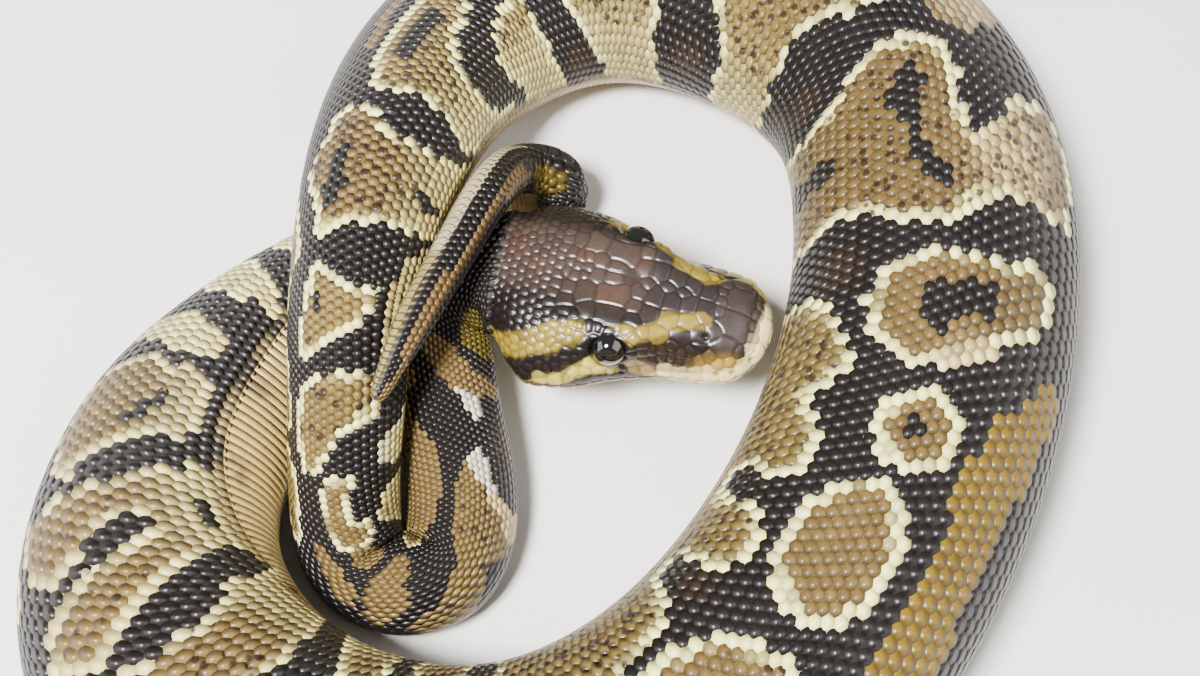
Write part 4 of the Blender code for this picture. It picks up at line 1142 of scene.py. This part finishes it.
def make_eye(side, name):
    """A bare glossy eye with no lid, and an upright slit in its dark iris."""
    rings, spokes = 24, 48
    rise = np.linspace(0, math.pi, rings + 1)[1:-1]
    turn = np.arange(spokes) * 2 * math.pi / spokes
    ball = [[np.sin(r) * np.cos(t), side * np.cos(r), np.sin(r) * np.sin(t)] for r in rise for t in turn]
    out = np.array([[0, side, 0]] + ball + [[0, -side, 0]])
    points = out * (EYE_RADIUS - 0.01) @ HEAD[:3, :3].T + eye_place(side)
    k = np.arange(spokes)
    last = 1 + spokes * (rings - 2)
    quads = np.roll(band(1, rings - 1, spokes)[:, ::-1], 1, axis=1)
    tris = np.concatenate([np.c_[np.zeros(spokes, int), 1 + (k + 1) % spokes, 1 + k],
                           np.c_[last + k, last + (k + 1) % spokes, np.full(spokes, len(points) - 1)]])
    if side < 0:
        quads, tris = quads[:, ::-1], tris[:, ::-1]
    outward, up = out[:, 1] * side, out[:, 2]
    half_slit = 0.16 * np.sqrt(np.clip(1 - (up / 0.75) ** 2, 0, 1))
    slit = (np.abs(out[:, 0]) < half_slit) & (np.abs(up) < 0.75)
    rim = np.arccos(np.clip(outward, -1, 1)) > 0.95
    iris = mixed(np.broadcast_to(IRIS, out.shape), IRIS_LOW, 1 - ease(-0.8, 0.1, up))
    colours = np.where((slit | rim)[:, None], PUPIL, iris)
    eye = to_mesh(name + "_ball", points, [quads, tris], colours)
    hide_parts(name)
    return eye


# ---------------------------------------------------------------------------------------------
# Materials.

def node(tree, kind, settings=None, **links):
    """Add a node, with its settings, and values or links for its sockets by name."""
    made = tree.nodes.new(kind)
    for key, value in (settings or {}).items():
        setattr(made, key, value)
    for socket, value in links.items():
        entry = made.inputs[int(socket[1:]) if socket[1:].isdigit() else socket.replace("_", " ")]
        if isinstance(value, bpy.types.NodeSocket):
            tree.links.new(value, entry)
        else:
            entry.default_value = value
    return made


def pattern(size):
    """Scale of a texture whose pattern has a size in mm."""
    return 1 / (size * MM)


def blank_material(name):
    """A material with no nodes but the object's own coordinates, for a pattern to lie in."""
    material = bpy.data.materials.new(name)
    material.use_nodes = True
    material.node_tree.nodes.clear()
    return material, material.node_tree, node(material.node_tree, "ShaderNodeTexCoord").outputs["Object"]


def flecks(tree, place, under):
    """Dark flecks where the markings have them, over the colour under them."""
    cells = node(tree, "ShaderNodeTexVoronoi", Vector=place, Scale=pattern(FLECK_SPACING))
    wanted = node(tree, "ShaderNodeAttribute", {"attribute_name": "flecked"}).outputs["Fac"]
    chance = node(tree, "ShaderNodeSeparateColor", Color=cells.outputs["Color"]).outputs["Red"]
    chosen = node(tree, "ShaderNodeMath", {"operation": "LESS_THAN"}, _0=chance, _1=wanted).outputs[0]
    dot = node(tree, "ShaderNodeMapRange", Value=cells.outputs["Distance"], From_Min=0.28, From_Max=0.42,
               To_Min=0.9, To_Max=0.0).outputs["Result"]
    amount = node(tree, "ShaderNodeMath", {"operation": "MULTIPLY"}, _0=chosen, _1=dot).outputs[0]
    return node(tree, "ShaderNodeMix", {"data_type": "RGBA"}, _0=amount, _6=under, _7=(*FLECK, 1)).outputs[2]


def coat_material(name, roughness, gloss, mottle, grain, relief, coat=0.0, speckled=False):
    """Colour of the markings, mottled a little, under a fine grain; mottle, grain and relief in mm.

    Real keratin's grain is too fine to show, so it is drawn as coarse as it needs to show."""
    material, tree, place = blank_material(name)
    tint = node(tree, "ShaderNodeAttribute", {"attribute_name": "tint"}).outputs["Color"]
    cloud = node(tree, "ShaderNodeTexNoise", Vector=place, Scale=pattern(mottle), Detail=3.0).outputs["Fac"]
    share = node(tree, "ShaderNodeMapRange", Value=cloud, From_Min=0.3, From_Max=0.7, To_Min=0.86, To_Max=1.1)
    toned = node(tree, "ShaderNodeMix", {"data_type": "RGBA", "blend_type": "MULTIPLY"},
                 _0=1.0, _6=tint, _7=share.outputs["Result"]).outputs[2]
    if speckled:
        toned = flecks(tree, place, toned)
    fine = node(tree, "ShaderNodeTexNoise", Vector=place, Scale=pattern(grain), Detail=2.0).outputs["Fac"]
    bump = node(tree, "ShaderNodeBump", Strength=0.25, Distance=relief * MM, Height=fine)
    shader = node(tree, "ShaderNodeBsdfPrincipled", Base_Color=toned, Roughness=roughness, IOR=1.5,
                  Specular_IOR_Level=gloss, Coat_Weight=coat, Coat_Roughness=0.05,
                  Normal=bump.outputs["Normal"])
    node(tree, "ShaderNodeOutputMaterial", Surface=shader.outputs["BSDF"])
    return material


def body_scale_keratin():
    """Keratin of the small scales: smooth, with a soft gloss and a small glint on each hind edge."""
    return coat_material("body_scale_keratin", 0.36, 0.34, 1 / 2.6, 1 / 9, 0.03, speckled=True)


def belly_plate_keratin():
    """Keratin of the belly plates: thin, smooth and wax-like."""
    return coat_material("belly_plate_keratin", 0.34, 0.40, 2 / 3, 1 / 7, 0.02)


def head_plate_keratin():
    """Keratin of the head's plates: harder and glossier than on the body, with sharp short glints."""
    return coat_material("head_plate_keratin", 0.30, 0.36, 1 / 2.2, 1 / 7, 0.03)


def skin_between_scales():
    """Thin stretchy skin in the gaps: dull, and dark partly from its own colour and partly from painted
    shade.
    """
    return coat_material("skin_between_scales", 0.62, 0.30, 1 / 2.6, 1 / 6, 0.03)


def clear_eye_scale():
    """The clear scale over the eye: a wet-looking gloss over a near-black iris."""
    return coat_material("clear_eye_scale", 0.08, 0.50, 1 / 1.8, 1 / 4, 0.002, coat=1.0)


def pale_board():
    """Painted board under the model: matt and even, faintly uneven in tone."""
    material, tree, place = blank_material("pale_board")
    cloud = node(tree, "ShaderNodeTexNoise", Vector=place, Scale=pattern(25), Detail=2.0).outputs["Fac"]
    tone = node(tree, "ShaderNodeMix", {"data_type": "RGBA"}, _0=cloud,
                _6=(*srgb("cbc9c5"), 1), _7=(*srgb("d1cfcb"), 1))
    shader = node(tree, "ShaderNodeBsdfPrincipled", Base_Color=tone.outputs[2], Roughness=0.85)
    node(tree, "ShaderNodeOutputMaterial", Surface=shader.outputs["BSDF"])
    return material


# ---------------------------------------------------------------------------------------------
# Stage: a floor, three soft lamps, and a camera that looks down at the coil. Lengths are in mm, and
# each lamp has its place, its size and its power in watts.

FLOOR_HALF = 600
LAMPS = [
    ("key", (-140, -150, 450), 100, 13.0), ("left", (-400, -60, 200), 350, 1.6),
    ("right", (360, -100, 300), 450, 2.2),
]
LAMPS_AIM = (0, 0, 10)
CAMERA_AIM, CAMERA_REACH = (2.9, 2.7, 10.0), 158.4
CAMERA_DOWN, HALF_VIEW = math.radians(66), math.radians(19)


def lay_floor():
    mesh = bpy.data.meshes.new("floor")
    half = FLOOR_HALF * MM
    corners = [(-half, -half, 0), (half, -half, 0), (half, half, 0), (-half, half, 0)]
    mesh.from_pydata(corners, [], [(0, 1, 2, 3)])
    mesh.materials.append(pale_board())
    link(bpy.data.objects.new("floor", mesh))


def set_light():
    """Three soft lamps, and a faint even glow from all round."""
    for name, place, size, power in LAMPS:
        data = bpy.data.lights.new(name, "AREA")
        data.size, data.energy = size * MM, power
        lamp = link(bpy.data.objects.new(name, data))
        lamp.location = np.array(place) * MM
        lamp.rotation_euler = (Vector(LAMPS_AIM) - Vector(place)).to_track_quat("-Z", "Y").to_euler()
    world = bpy.data.worlds.new("studio")
    world.use_nodes = True
    glow = world.node_tree.nodes["Background"].inputs
    glow["Color"].default_value = (1, 1, 1, 1)
    glow["Strength"].default_value = 0.30
    bpy.context.scene.world = world


def place_camera():
    data = bpy.data.cameras.new("camera")
    data.sensor_width = 36
    data.lens = data.sensor_width / 2 / math.tan(HALF_VIEW)
    data.clip_start = 0.005
    camera = link(bpy.data.objects.new("camera", data))
    back = Vector((0, -math.cos(CAMERA_DOWN), math.sin(CAMERA_DOWN)))
    camera.location = (Vector(CAMERA_AIM) + back * CAMERA_REACH) * MM
    camera.rotation_euler = (math.pi / 2 - CAMERA_DOWN, 0, 0)
    bpy.context.scene.camera = camera


def finish(piece, slot, *materials):
    """Gives a piece its materials and its body; the slot is not used."""
    for material in materials:
        piece.data.materials.append(material)
    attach(piece, "root")


lay_floor()
set_light()
place_camera()
finish(make_skin(), "trunk_skin", skin_between_scales(), head_plate_keratin())
scale_keratin = body_scale_keratin()
for piece in make_scales():
    finish(piece, "trunk_skin", scale_keratin)
finish(make_belly_plates(), "trunk_skin", belly_plate_keratin())
eye_gloss = clear_eye_scale()
for side, name in ((1, "eye_left"), (-1, "eye_right")):
    finish(make_eye(side, name), "eye", eye_gloss)
